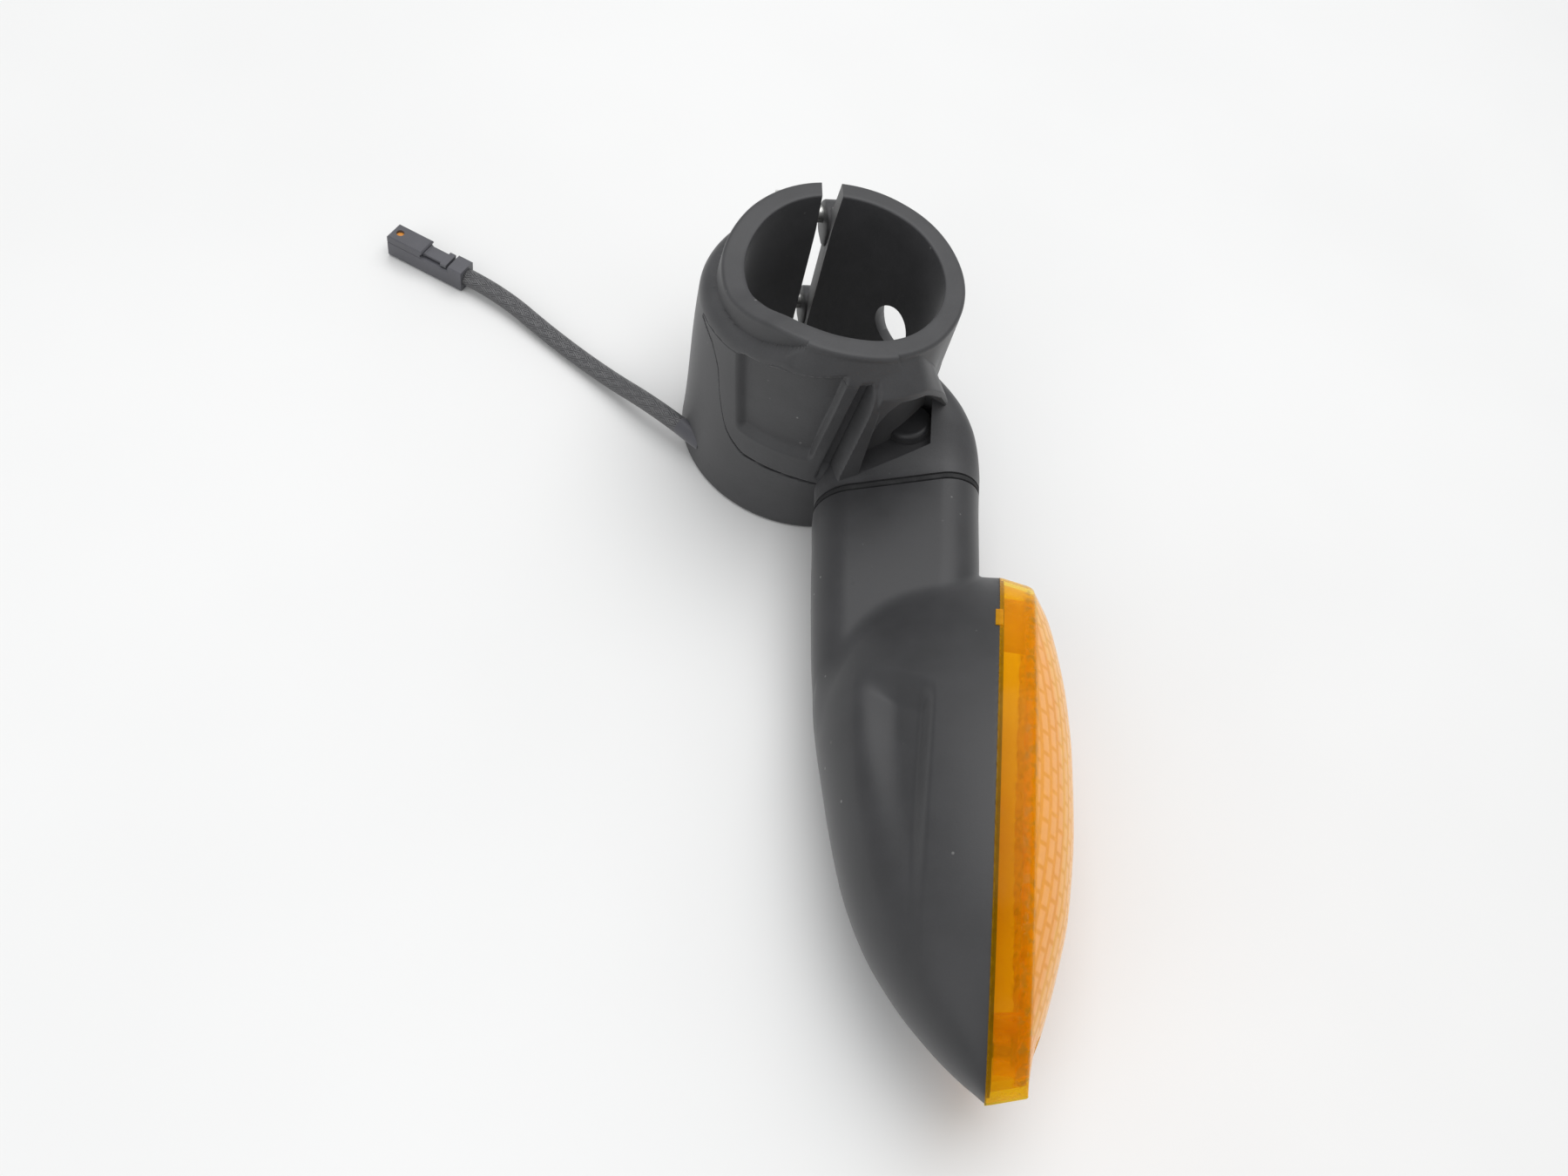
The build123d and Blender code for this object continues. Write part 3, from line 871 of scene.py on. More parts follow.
class Finish:
    """All finishes of the object, made once each."""

    def __init__(self) -> None:
        """Make every material."""
        made = {
            "sleeve_plastic": MouldedPlastic("sleeve_plastic", (0.033, 0.033, 0.035),
                                             (0.05, 0.05, 0.053), 0.5, 3.0, 0.00004),
            "housing_plastic": MouldedPlastic("housing_plastic", (0.0235, 0.0235, 0.0252),
                                              (0.033, 0.033, 0.0355), 0.45, 4.2, 0.000018),
            "black_rubber": SoftRubber("black_rubber", (0.018, 0.018, 0.019),
                                       (0.034, 0.034, 0.035)),
            "seal_foam": SoftRubber("seal_foam", (0.02, 0.02, 0.02), (0.05, 0.05, 0.05), 1.4,
                                    0.85),
            # the sixth value of each amber finish is its painted glow
            "amber_lens": AmberLens("amber_lens", (0.92, 0.42, 0.001), (0.8, 0.33, 0.001),
                                    (1.0, 0.84, 0.08), 0.13, 0.1, 0.1, 0.85),
            "amber_flutes": AmberLens("amber_flutes", (0.92, 0.42, 0.004), (0.76, 0.3, 0.001),
                                      (1.0, 0.82, 0.12), 0.3, 0.12, 0.14),
            "bulb_glass": ClearGlass("bulb_glass"),
            "reflector_bright": PlatedMetal("reflector_bright", (0.93, 0.92, 0.9),
                                            (0.8, 0.79, 0.76), 0.22, 1.0, 0.8),
            "zinc_steel": PlatedMetal("zinc_steel", (0.62, 0.62, 0.6), (0.44, 0.44, 0.43), 0.36),
            "black_steel": PlatedMetal("black_steel", (0.05, 0.05, 0.052), (0.09, 0.09, 0.09),
                                       0.42),
            "brass": PlatedMetal("brass", (0.8, 0.56, 0.24), (0.55, 0.38, 0.17), 0.3),
            "tin_brass": PlatedMetal("tin_brass", (0.78, 0.6, 0.32), (0.6, 0.47, 0.27), 0.38),
            "tungsten": PlatedMetal("tungsten", (0.35, 0.34, 0.33), (0.22, 0.22, 0.21), 0.45),
            "wire_jacket": MouldedPlastic("wire_jacket", (0.03, 0.03, 0.14), (0.06, 0.06, 0.2),
                                          0.4),
            "braid": WovenBraid("braid", (0.012, 0.012, 0.014), (0.1, 0.1, 0.105)),
            "connector_plastic": MouldedPlastic("connector_plastic", (0.07, 0.07, 0.08),
                                                (0.1, 0.1, 0.115), 0.42, 4.0, 0.00002),
            "peg_orange": MouldedPlastic("peg_orange", (0.72, 0.26, 0.03), (0.85, 0.4, 0.08), 0.35,
                                         2.5, 0.00001),
            "pale_table": PaleTable("pale_table", (0.86, 0.86, 0.855), (0.83, 0.83, 0.825)),
        }
        self.materials = {name: finish.material() for name, finish in made.items()}

    def dress(self, target: Body, name: str) -> None:
        """Give a piece one finish, in its only material slot.

        Args:
            target: the piece to change.
            name: the finish's name.
        """
        target.data.materials.clear()
        target.data.materials.append(self.materials[name])

    def dress_nodes(self, nodes: Mapping[str, Body], names: Mapping[str, str]) -> None:
        """Put better materials in the slots of CAD nodes.

        Args:
            nodes: CAD nodes by name.
            names: the finish of each node to dress.
        """
        for node, name in names.items():
            for slot in nodes[node].material_slots:
                slot.material = self.materials[name]


# ---- view ----
@dataclass
class Studio:
    """Camera, floor and soft light."""

    eye: tuple[float, float, float] = (-24.2, -213.2, 251.6)
    dip: float = 56.2
    heading: float = -8.74
    roll: float = 18.2
    lens: float = 30.48
    floor_half: float = 1400.0

    def camera(self) -> None:
        """Stand the camera at the eye: forward dips below the horizon, then rolls."""
        dip, roll = math.radians(self.dip), math.radians(self.roll)
        forward = Vector((0, math.cos(dip), -math.sin(dip)))
        down = Vector((0, -math.sin(dip), -math.cos(dip)))
        right = Vector((1, 0, 0))
        across = right * math.cos(roll) - down * math.sin(roll)
        below = right * math.sin(roll) + down * math.cos(roll)
        turn = Matrix.Rotation(math.radians(self.heading), 3, "Z").to_3x3()
        axes = Matrix((turn @ across, turn @ -below, turn @ -forward)).transposed()
        data = bpy.data.cameras.new("view")
        data.sensor_width = 36.0
        data.lens = self.lens
        data.clip_start, data.clip_end = 0.01, 20.0
        made = bpy.data.objects.new("view", data)
        made.matrix_world = Matrix.Translation(Vector(self.eye) * MM) @ axes.to_4x4()
        bpy.context.scene.collection.objects.link(made)
        bpy.context.scene.camera = made

    def floor(self, finish: Finish) -> None:
        """Flat table under everything: a grid of points at height zero.

        Args:
            finish: the finishes to dress with.
        """
        side = np.linspace(-self.floor_half, self.floor_half, 9)
        x, y = np.meshgrid(side, side, indexing="ij")
        made = piece("table", np.stack([x, y, np.zeros_like(x)], -1), grid_faces(9, 9)[:, ::-1],
                     join=False)
        finish.dress(made, "pale_table")
        made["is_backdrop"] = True

    def light(self, name: str, place: Sequence[float], target: Sequence[float], size: float,
              power: float) -> None:
        """A square soft light aimed at a point, in millimetres and watts.

        Args:
            name: the light's name.
            place: where it hangs.
            target: the point it faces.
            size: length of its side.
            power: its watts.
        """
        data = bpy.data.lights.new(name, "AREA")
        data.shape = "SQUARE"
        data.size = size * MM
        data.energy = power
        made = bpy.data.objects.new(name, data)
        made.location = Vector(place) * MM
        made.rotation_mode = "QUATERNION"
        made.rotation_quaternion = (Vector(target) - Vector(place)).to_track_quat("-Z", "Y")
        bpy.context.scene.collection.objects.link(made)

    def lights(self) -> None:
        """Large overhead lamp, a low fill and a pale sky."""
        self.light("overhead", (40, 220, 950), (0, -60, 0), 1000, 6.5)
        self.light("fill", (-500, -700, 600), (0, -60, 0), 700, 1.6)
        world = bpy.data.worlds.new("room")
        world.use_nodes = True
        background = world.node_tree.nodes["Background"]
        background.inputs[0].default_value = (0.98, 0.99, 1.0, 1.0)
        background.inputs[1].default_value = 0.56
        bpy.context.scene.world = world
        settings = bpy.context.scene.view_settings
        settings.view_transform = "Standard"


# ---- lead ----
@dataclass
class FlyingLead:
    """Braided two-wire lead from the grommet to the connector."""

    thickness: float = 4.3
    length: float = 71.2
    waist: float = 0.16
    lobe_turn: float = 38.0
    lowest: float = 0.05
    around: int = 40
    route: tuple[tuple[float, float, float], ...] = (
        (-28.102, -11.84, 6.5), (-35.743, -7.084, 6.5), (-49.0, 2.0, 2.9), (-64.5, 11.8, 2.2),
        (-79.003, 21.38, 3.2), (-88.4, 24.8, 3.2))

    def centreline(self) -> Array:
        """Points read from the route's smooth spline, in millimetres.

        Returns:
            Evenly spaced points (number, 3).
        """
        curve = bpy.data.curves.new("lead_line", "CURVE")
        curve.dimensions = "3D"
        spline = curve.splines.new("NURBS")
        spline.points.add(len(self.route) - 1)
        spline.points.foreach_set("co", np.array([(*(c * MM for c in p), 1.0)
                                                  for p in self.route]).ravel())
        spline.order_u = 3
        spline.use_endpoint_u = True
        spline.resolution_u = 48
        holder = bpy.data.objects.new("lead_line", curve)
        bpy.context.scene.collection.objects.link(holder)
        bpy.context.view_layer.update()
        mesh = bpy.data.meshes.new_from_object(
            holder.evaluated_get(bpy.context.evaluated_depsgraph_get()))
        line = np.empty(len(mesh.vertices) * 3)
        mesh.vertices.foreach_get("co", line)
        bpy.data.objects.remove(holder)
        line = line.reshape(-1, 3) * TO_MM
        reach = np.concatenate([[0], np.cumsum(np.linalg.norm(np.diff(line, axis=0), axis=1))])
        even = np.linspace(0, reach[-1], 261)
        return np.stack([np.interp(even, reach, line[:, i]) for i in range(3)], -1)

    def build(self, finish: Finish, nodes: Mapping[str, Body]) -> Body:
        """Tube of two-lobed section: radius r (1 - w + w |cos|), level across the path.

        Args:
            finish: the finishes to dress with.
            nodes: not used.

        Returns:
            The lead.
        """
        line = self.centreline()
        along = np.gradient(line, axis=0)
        along /= np.linalg.norm(along, axis=1)[:, None]
        side = np.cross(along, [0, 0, 1.0])
        side /= np.linalg.norm(side, axis=1)[:, None]
        up = np.cross(side, along)
        turn = np.linspace(0, 2 * np.pi, self.around, endpoint=False)
        lobes = np.abs(np.cos(turn - math.radians(self.lobe_turn))) ** 0.7
        radius = self.thickness / 2 * (1 - self.waist + self.waist * lobes)
        ring = ((np.cos(turn) * radius)[None, :, None] * side[:, None]
                + (np.sin(turn) * radius)[None, :, None] * up[:, None])
        points = line[:, None] + ring
        points[..., 2] = np.maximum(points[..., 2], self.lowest)
        rows = len(line)
        faces = grid_faces(rows, self.around, close_cols=True)[:, ::-1].tolist()
        last = range((rows - 1) * self.around, rows * self.around)
        faces += [list(range(self.around)), list(last)[::-1]]
        made = piece("lead_braid", points, faces, 60.0, join=False)
        self.unwrap(made, rows)
        finish.dress(made, "braid")
        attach(made, Rider.MOUNT.value)
        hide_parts("lead")
        return made

    def build_grommet(self, finish: Finish) -> None:
        """Slim collar in place of the rubber grommet in the sleeve's wall, hardly thicker than the
        lead, finished in the connector's plastic.

        Args:
            finish: the finishes to dress with.
        """
        profile = np.array([(1.9, -6.0), (2.2, -6.0), (2.2, 0.9), (2.1, 1.1), (1.9, 1.1)])
        start, onward = (np.array(p) for p in self.route[:2])
        made = revolve("lead_collar", profile, start, onward - start, 40)
        finish.dress(made, "connector_plastic")
        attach(made, Rider.MOUNT.value)
        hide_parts("lead_grommet")

    def unwrap(self, made: Body, rows: int) -> None:
        """UV map: u once round the cord, v in millimetres along it.

        Args:
            made: the lead.
            rows: rings of points along it.
        """
        mesh = made.data
        layer = mesh.uv_layers.new(name="UVMap")
        vertex = np.empty(len(mesh.loops), np.int32)
        mesh.loops.foreach_get("vertex_index", vertex)
        u = (vertex % self.around) / self.around
        v = (vertex // self.around) * (self.length / (rows - 1))
        total = np.empty(len(mesh.polygons), np.int32)
        mesh.polygons.foreach_get("loop_total", total)
        start = np.concatenate([[0], np.cumsum(total)[:-1]])
        most = np.repeat(np.maximum.reduceat(u, start), total)
        u = np.where((u < 0.01) & (most > 0.9), 1.0, u)
        layer.data.foreach_set("uv", np.stack([u, v], -1).ravel().astype(np.float32))


# ---- sleeve ----
@dataclass
class ForkSleeve:
    """Split moulded sleeve: wavy rim, short neck, sunk panel, strut, arched pocket, lugs."""

    bore: float = 21.5
    neck: float = 26.2
    body: float = 29.3
    slim_by: float = 2.9
    rim_round: float = 0.9
    bore_round: float = 0.5
    panel_sink: float = 1.75
    channel_out: float = 27.1
    hood_out: float = 31.4
    pocket_left: float = -67.6
    pocket_out: float = 26.2
    hole_at: tuple[float, float] = (42.0, 26.5)
    hole_face: float = 25.6
    slit_at: float = 104.0
    slit_half: float = 1.85
    slit_skew: float = 0.26
    lug_z: tuple[float, float] = (40.4, 12.5)
    lug_out: float = 29.5
    lug_side: float = 3.95
    spot_out: float = 27.4
    cover_left: float = -159.6
    cover_right: float = -73.5
    cover_top: float = 50.8
    cover_gap: float = 1.3
    gap: float = 0.34
    rim_at: Knots = ((-256, 55.6), (-220, 54.6), (-200, 53.2), (-180, 52.2), (-160, 52.0),
                     (-140, 54.0), (-120, 56.6), (-103, 57.2), (-85, 57.0), (-60, 56.0),
                     (-30, 55.2), (20, 55.2), (60, 55.6), (104, 55.6))
    shoulder_at: Knots = ((-256, 47.0), (-180, 47.4), (-160, 48.0), (-140, 49.0), (-128, 50.6),
                          (-117, 52.9), (-107, 55.3), (-94, 58.8), (-70, 58.8), (-56, 52.0),
                          (-42, 42.0), (-25, 38.0), (30, 38.0), (60, 42.0), (104, 47.0))
    seam_at: Knots = ((-161, 43.6), (-149, 42.0), (-142, 38.0), (-136, 29.0), (-130, 22.6),
                      (-124, 20.0), (-118, 18.6), (-108, 18.4), (-94, 18.0), (-83, 17.2),
                      (-70, 16.6))
    draft_at: Knots = ((-150, 4.0), (-128, 2.0), (-106, 0.5), (-60, 0.42), (-48, 1.2), (-38, 4.0))
    strut_at: Knots = ((14.5, 29.3), (17.0, 34.0), (24.0, 32.0), (44.0, 31.6), (48.0, 30.7),
                       (53.6, 26.2), (55.5, 24.0))
    arch_at: Knots = ((-68.6, 36.0), (-67.6, 38.6), (-66.2, 41.8), (-63.6, 44.8), (-58.6, 47.0),
                      (-50.3, 46.9), (-38.6, 43.0), (-27.9, 36.3), (-22.0, 31.0), (-18.0, 26.0))

    def strut_left(self, z: Array) -> Array:
        """Direction of the strut's left flank at a height."""
        return -71.0 - 0.2 * (53.0 - z)

    def mm_from(self, degrees: Array, start: Array) -> Array:
        """Distance round the body from a direction."""
        return np.radians(degrees - start) * self.body

    def seam_slant(self, degrees: Array) -> Array:
        """Length of the cover's lower edge per mm round the body: root of 1 + slope^2."""
        rise = through(degrees + 0.5, self.seam_at) - through(degrees - 0.5, self.seam_at)
        return np.hypot(1.0, rise / (math.radians(1.0) * self.body))

    def cover_edges(self, degrees: Array, z: Array) -> Array:
        """How far a point is inside the cover's outline, in mm: the least of its four margins.

        Args:
            degrees: directions round the fork tube's axis.
            z: heights above the sleeve's foot, in mm.

        Returns:
            The margins, negative outside the outline.
        """
        bottom = (z - through(degrees, self.seam_at)) / self.seam_slant(degrees)
        top = through(degrees, self.shoulder_at) - 3.6 - z
        top = np.minimum(top, 50.5 - z)
        left = self.mm_from(degrees, -160.0)
        right = -self.mm_from(degrees, self.strut_left(z)) - 0.5
        return np.minimum(np.minimum(bottom, top), np.minimum(left, right))

    def skin(self, degrees: Array, z: Array) -> Array:
        """Outer radius at a direction and height.

        The body tapers and swells a little, rounds over at the shoulder and goes on as the
        neck. Panel, channel, rib, strut, hood and pocket are smooth steps up or down from it.

        Args:
            degrees: directions round the fork tube's axis.
            z: heights above the sleeve's foot, in mm.

        Returns:
            The radius, in mm.
        """
        shoulder = through(degrees, self.shoulder_at)
        swell = 1.1 * np.exp(-((degrees + 172) / 34) ** 2) * ramp(z, 4, 40)
        slim = ramp(degrees, -40, -24) * (1 - ramp(degrees, 66, 84))
        body = self.body + swell - self.slim_by * slim
        neck = self.neck + 0.1 * (1 - slim) * np.maximum(0.0, 55.5 - z)
        lift = np.clip((z - (shoulder - 3.6)) / 3.6, 0.0, 1.0)
        r = body - (body - neck) * (1 - np.sqrt(np.clip(1 - lift ** 2.2, 0, 1)))
        r = np.where(z > shoulder, neck, r)
        rim = through(degrees, self.rim_at)
        draft = through(degrees, self.draft_at)
        open_wall = 1.3 * ramp(degrees, -121, -97) * (1 - ramp(degrees, -52, -40))
        r = soft_min(r, neck - draft * open_wall
                     + draft * np.maximum(0.0, rim - 0.6 + 1.5 * open_wall - z), 0.4)
        flank = self.mm_from(degrees, self.strut_left(z))
        beside = ramp(z, 19, 23) * (1 - ramp(z, 48.5, 52.0))
        wall = self.mm_from(degrees, -128.0 + (46.4 - z) * 0.383 - 4.6)
        top = 46.8 + (degrees + 128) * 0.118
        sunk = (ramp(wall, 0, 2.2) * ramp(z, 25.2, 27.6) * (1 - ramp(z, top - 0.4, top + 1.2))
                * (1 - ramp(flank, -7.0, -5.9)))
        r = r - sunk * np.clip(r - (body - self.panel_sink), 0, self.panel_sink)
        channel = ramp(flank, -3.6, -2.8) * (1 - ramp(flank, -0.5, 0.1)) * beside
        r = r - channel * np.maximum(r - self.channel_out, 0)
        inside = self.mm_from(degrees, self.pocket_left)
        strut_r = through(z, self.strut_at)
        strut = ramp(flank, -0.1, 0.6) * (1 - ramp(inside, -0.35, 0.2)) * ramp(z, 14.5, 16.5)
        r = r + strut * np.maximum(strut_r - r, 0)
        arch = through(degrees, self.arch_at)
        above = z - arch
        sector = ramp(inside, -1.2, -0.4) * (1 - ramp(degrees, -24, -18))
        crest = np.where(degrees < -58.6, 47.0, arch)
        hood_r = self.hood_out - 0.9 * np.maximum(0, z - crest - 1.9)
        hood = sector * ramp(above, -0.35, 0.1)
        r = r + hood * np.maximum(hood_r - r, 0)
        pocket = ramp(inside, -0.1, 0.35) * (1 - ramp(above, -0.35, 0.1)) * (
            1 - ramp(degrees, -22, -19)) * ramp(z, 14, 15)
        r = r - pocket * (r - self.pocket_out)
        beside_hole = np.hypot(self.mm_from(degrees, self.hole_at[0]), z - self.hole_at[1])
        return r - (r - self.hole_face) * (1 - ramp(beside_hole, 9.0, 10.2))

    def build(self, finish: Finish) -> None:
        """Sleeve, cover and lugs."""
        self.build_sleeve(finish)
        self.build_cover(finish)

    def build_sleeve(self, finish: Finish) -> None:
        """Closed profile (outside, rim, bore, foot) carried round from one side of the slit
        to the other; the slit's faces stay parallel because the sweep shortens with radius.

        Args:
            finish: the finishes to dress with.
        """
        start = self.slit_at - 360.0
        sweep = spread(start, self.slit_at, (
            (-163, -134, 0.5), (-134, -64, 0.36), (-64, -20, 0.5), (start, -163, 1.0),
            (-20, self.slit_at, 1.0)), 0.1, 1.4)
        share = (sweep - start) / 360.0
        level = spread(0.0, 1.0, ((0, 0.03, 0.006), (0.24, 1.0, 0.0062)), 0.001, 0.012)
        rim = through(sweep, self.rim_at)[:, None]
        z = level[None, :-1] * (rim - self.rim_round)
        outer = self.skin(sweep[:, None], z)
        low = 1 - np.clip(z / self.rim_round, 0, 1)
        outer = outer - self.rim_round * (1 - np.sqrt(np.clip(1 - low ** 2, 0, 1)))
        inside = self.cover_edges(sweep[:, None], z)
        outer = outer - self.cover_gap * ramp(inside, -0.12, 0.1)
        outer = self.spot_faces(sweep[:, None], z, outer)
        turn = np.linspace(0, np.pi / 2, 5)[None]
        edge = outer[:, -1:]
        round_r = edge - self.rim_round * (1 - np.cos(turn))
        round_z = rim - self.rim_round + self.rim_round * np.sin(turn)
        flat = np.linspace(0.15, 0.85, 4)[None]
        top_r = (edge - self.rim_round) * (1 - flat) + (self.bore + self.bore_round) * flat
        turn = turn[:, 1:]
        in_r = self.bore + self.bore_round * (1 - np.sin(turn)) + 0 * rim
        in_z = rim - self.bore_round * (1 - np.cos(turn))
        bore_z = (rim - self.bore_round) * np.linspace(0.95, 0.012, 17)[None]
        foot = np.linspace(0.2, 0.9, 3)[None]
        radius = np.concatenate([outer, round_r, top_r, in_r, np.full_like(bore_z, self.bore),
                                 self.bore + 0.4 + (outer[:, :1] - self.bore - 0.4) * foot], 1)
        height = np.concatenate([z, round_z, np.broadcast_to(rim, top_r.shape), in_z, bore_z,
                                 np.zeros_like(top_r[:, :3])], 1)
        half = self.slit_half + 0.5 * ramp(height, 44, 56)
        miss = np.degrees(np.arcsin(half / radius))
        near = 1 - ramp(np.minimum(share, 1 - share), 0, 0.08)[:, None]
        degrees = start + miss + share[:, None] * (360.0 - 2 * miss)
        degrees = degrees - self.slit_skew * (radius - self.bore) * near
        made = tube_piece("sleeve", cylinder_to_row(radius, degrees, height), 42.0)
        carve(made, [self.hole_cutter()], 42.0)
        finish.dress(made, "sleeve_plastic")
        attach(made, Rider.MOUNT.value)
        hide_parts("fork_sleeve")
        for number, z in enumerate(self.lug_z):
            for side in (-1, 1):
                self.build_lug(finish, number, z, side)

    def hole_cutter(self) -> Body:
        """Round cutter for the side hole, wider outside than in the wall.

        Returns:
            The cutter.
        """
        angle = math.radians(self.hole_at[0])
        profile = np.array([(5.6, 0.0), (5.6, 21.9), (7.8, 25.7), (7.8, 40.0)])
        return revolve("side_hole_cut", profile, np.array([0, 0, self.hole_at[1]]),
                       np.array([math.cos(angle), math.sin(angle), 0]), 72)

    def spot_faces(self, degrees: Array, z: Array, outer: Array) -> Array:
        """Cut flats beside the lugs: planes a set way out, square to the slit.

        Args:
            degrees: directions round the fork tube's axis.
            z: heights above the sleeve's foot, in mm.
            outer: the outer radius there, in mm.

        Returns:
            The radius with the flats cut.
        """
        angle = np.radians(degrees - self.slit_at)
        across = outer * np.sin(angle)
        ahead = np.cos(angle)
        flat = self.spot_out / np.maximum(ahead, 0.2)
        for middle in self.lug_z:
            here = ((ahead > 0.5) & (np.abs(across) > 5.8) & (np.abs(across) < 14.2)
                    & (np.abs(z - middle) < 4.8))
            outer = np.where(here, np.minimum(outer, flat), outer)
        return outer

    def build_lug(self, finish: Finish, number: int, z: float, side: int) -> None:
        """One clamp lug: a block with its outer corners rounded, beside the slit.

        Args:
            finish: the finishes to dress with.
            number: the pair's number.
            z: height of the lug's middle.
            side: -1 or 1, the side of the slit.
        """
        place = (Matrix.Rotation(math.radians(self.slit_at), 4, "Z")
                 @ Matrix.Translation((self.lug_out, side * self.lug_side, z))
                 @ Matrix.Rotation(math.pi / 2, 4, "X"))
        made = block(f"clamp_lug_{number}_{'left' if side < 0 else 'right'}", (10.8, 9.4, 4.1),
                     4.2, place)
        finish.dress(made, "sleeve_plastic")
        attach(made, Rider.MOUNT.value)

    def cover_span(self, degrees: Array) -> tuple[Array, Array]:
        """Heights of the cover's lower and upper edge at a direction."""
        low = through(degrees, self.seam_at) + self.gap * self.seam_slant(degrees)
        return low, np.minimum(through(degrees, self.shoulder_at) - 3.3, self.cover_top)

    def build_cover(self, finish: Finish) -> None:
        """Snap-in cover: outline stretched over the skin, its edges eased, with a plain back.

        Args:
            finish: the finishes to dress with.
        """
        s = np.linspace(0, 1, 210)[:, None]
        v = np.linspace(0, 1, 120)[None]
        low, high = self.cover_span(self.cover_left + s * (self.cover_right - self.cover_left))
        z = low + (high - low) * v
        degrees = self.cover_left + s * (self.strut_left(z) - 1.3 - self.cover_left)
        low, high = self.cover_span(degrees)
        z = low + (high - low) * v
        lower = (z - low) / self.seam_slant(degrees)
        ease = np.clip(1 - np.minimum(lower, self.mm_from(degrees, self.cover_left)) / 0.4, 0, 1)
        tuck = 0.2 * ramp(z - high, -0.5, -0.2)
        front = self.skin(degrees, z) + 0.05 - 0.28 * ease ** 2 - tuck
        back = self.skin(degrees, z) - self.cover_gap + 0.15
        loop_r = np.concatenate([front, back[:, ::-6]], 1)
        loop_z = np.concatenate([z, z[:, ::-6]], 1)
        loop_d = np.concatenate([degrees, degrees[:, ::-6]], 1)
        made = tube_piece("cover", cylinder_to_row(loop_r, loop_d, loop_z), 42.0)
        finish.dress(made, "sleeve_plastic")
        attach(made, Rider.MOUNT.value)
        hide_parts("cable_cover")


# ---- arm ----
def stalk_values(t: Array, table: Sequence[Sequence[float]]) -> tuple[Array, ...]:
    """Left, right, middle, half height and corner at a reach, each a curve through its knots."""
    return tuple(through(t, [(row[0], row[i]) for row in table]) for i in range(1, 6))


@dataclass
class Elbow:
    """Arm from the sleeve to the lamp's seam, its pocket and the pivot's cap, and the spacer."""

    sections: tuple[tuple[float, ...], ...] = (
        (-6.0, -19.0, 2.0, 4.0, 16.3, 8.0), (4.0, -20.2, 8.8, 4.0, 16.8, 9.5),
        (8.0, -20.4, 12.4, 3.8, 16.4, 10.0), (12.0, -20.2, 15.4, 3.4, 15.4, 10.0),
        (16.0, -19.7, 17.3, 2.6, 14.0, 9.8), (20.0, -19.1, 18.1, 1.6, 12.6, 9.4),
        (24.0, -18.5, 18.5, 0.7, 11.5, 9.0), (28.0, -18.1, 18.7, 0.1, 10.7, 8.6),
        (SEAM,) + STALK_SEAM)
    tube_clear: float = 25.4
    pocket_floor: float = 10.9
    cap_at: tuple[float, float, float] = (2.4, 6.7, 15.8)

    def build(self, finish: Finish) -> None:
        """Arm with its pocket, the pivot's cap, the rubber spacer.

        Args:
            finish: the finishes to dress with.
        """
        t = spread(-6.0, SEAM, ((26, 30, 0.25),), 0.05, 0.6)
        left, right, mid, half, corner = stalk_values(t, self.sections)
        a, b = rounded_loop(left, right, mid - half, mid + half, corner, 220)
        reach = t[:, None] - SLOPE * a * ramp(t, 14, 29)[:, None]
        made = tube_piece("elbow", lamp_to_row(a, b, reach), 40.0)
        ends = np.array([(self.tube_clear, -60.0), (self.tube_clear, 90.0)])
        cutter = self.pocket_cutter()
        tube = revolve("elbow_bore_cut", ends, np.zeros(3), np.array([0, 0, 1.0]), 180)
        carve(made, [cutter, tube], 36.0)
        finish.dress(made, "sleeve_plastic")
        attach(made, Rider.MOUNT.value)
        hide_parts("arm")
        self.build_cap(finish)
        self.build_spacer(finish)

    def pocket_cutter(self) -> Body:
        """Four-sided prism from the pocket's floor upwards.

        Returns:
            The cutter.
        """
        a, t = np.array([(-9.3, 30.0), (7.6, 21.8), (7.6, 2.0), (-9.3, 2.0)]).T
        b = np.array([[self.pocket_floor], [44.0]])
        return tube_piece("pocket_cut", lamp_to_row(a, b, t))

    def build_cap(self, finish: Finish) -> None:
        """Domed cap over the pivot's screw: a quarter round between side and top.

        Args:
            finish: the finishes to dress with.
        """
        turn = np.linspace(0, np.pi / 2, 9)
        edge = np.stack([4.0 + 1.1 * np.cos(turn), 5.9 + 1.1 * np.sin(turn)], -1)
        crown = np.stack([np.linspace(3.2, 0.02, 5), 7.0 + 0.35 * np.linspace(0, 1, 5) ** 0.5], -1)
        profile = np.concatenate([[(5.1, 0.0), (5.1, 3.0)], edge, crown])
        made = revolve("pivot_cap", profile, lamp_to_row(*self.cap_at), lamp_axis(b=1.0), 64)
        finish.dress(made, "housing_plastic")
        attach(made, Rider.MOUNT.value)
        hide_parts("pivot_screw", "pivot_washer")

    def build_spacer(self, finish: Finish) -> None:
        """Rubber band between arm and lamp: its outline dips into a groove at each face.

        Args:
            finish: the finishes to dress with.
        """
        v = np.linspace(0, 1, 33)
        dip = 0.9 * (1 - ramp(v, 0.1, 0.26)) + 0.9 * ramp(v, 0.74, 0.9)
        t = SEAM + SPACER * v
        left, right, mid, half, corner = (np.full_like(t, x) for x in STALK_SEAM)
        a, b = rounded_loop(left + dip, right - dip, mid - half + dip, mid + half - dip, corner,
                            220)
        reach = t[:, None] - SLOPE * a
        made = tube_piece("spacer_band", lamp_to_row(a, b, reach), 50.0)
        finish.dress(made, "black_rubber")
        lamp_to_row(0.0, 0.0, SEAM) * MM
        lamp_to_row(0.0, 0.0, SEAM + SPACER) * MM
        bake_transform(made)
        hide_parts("spacer")


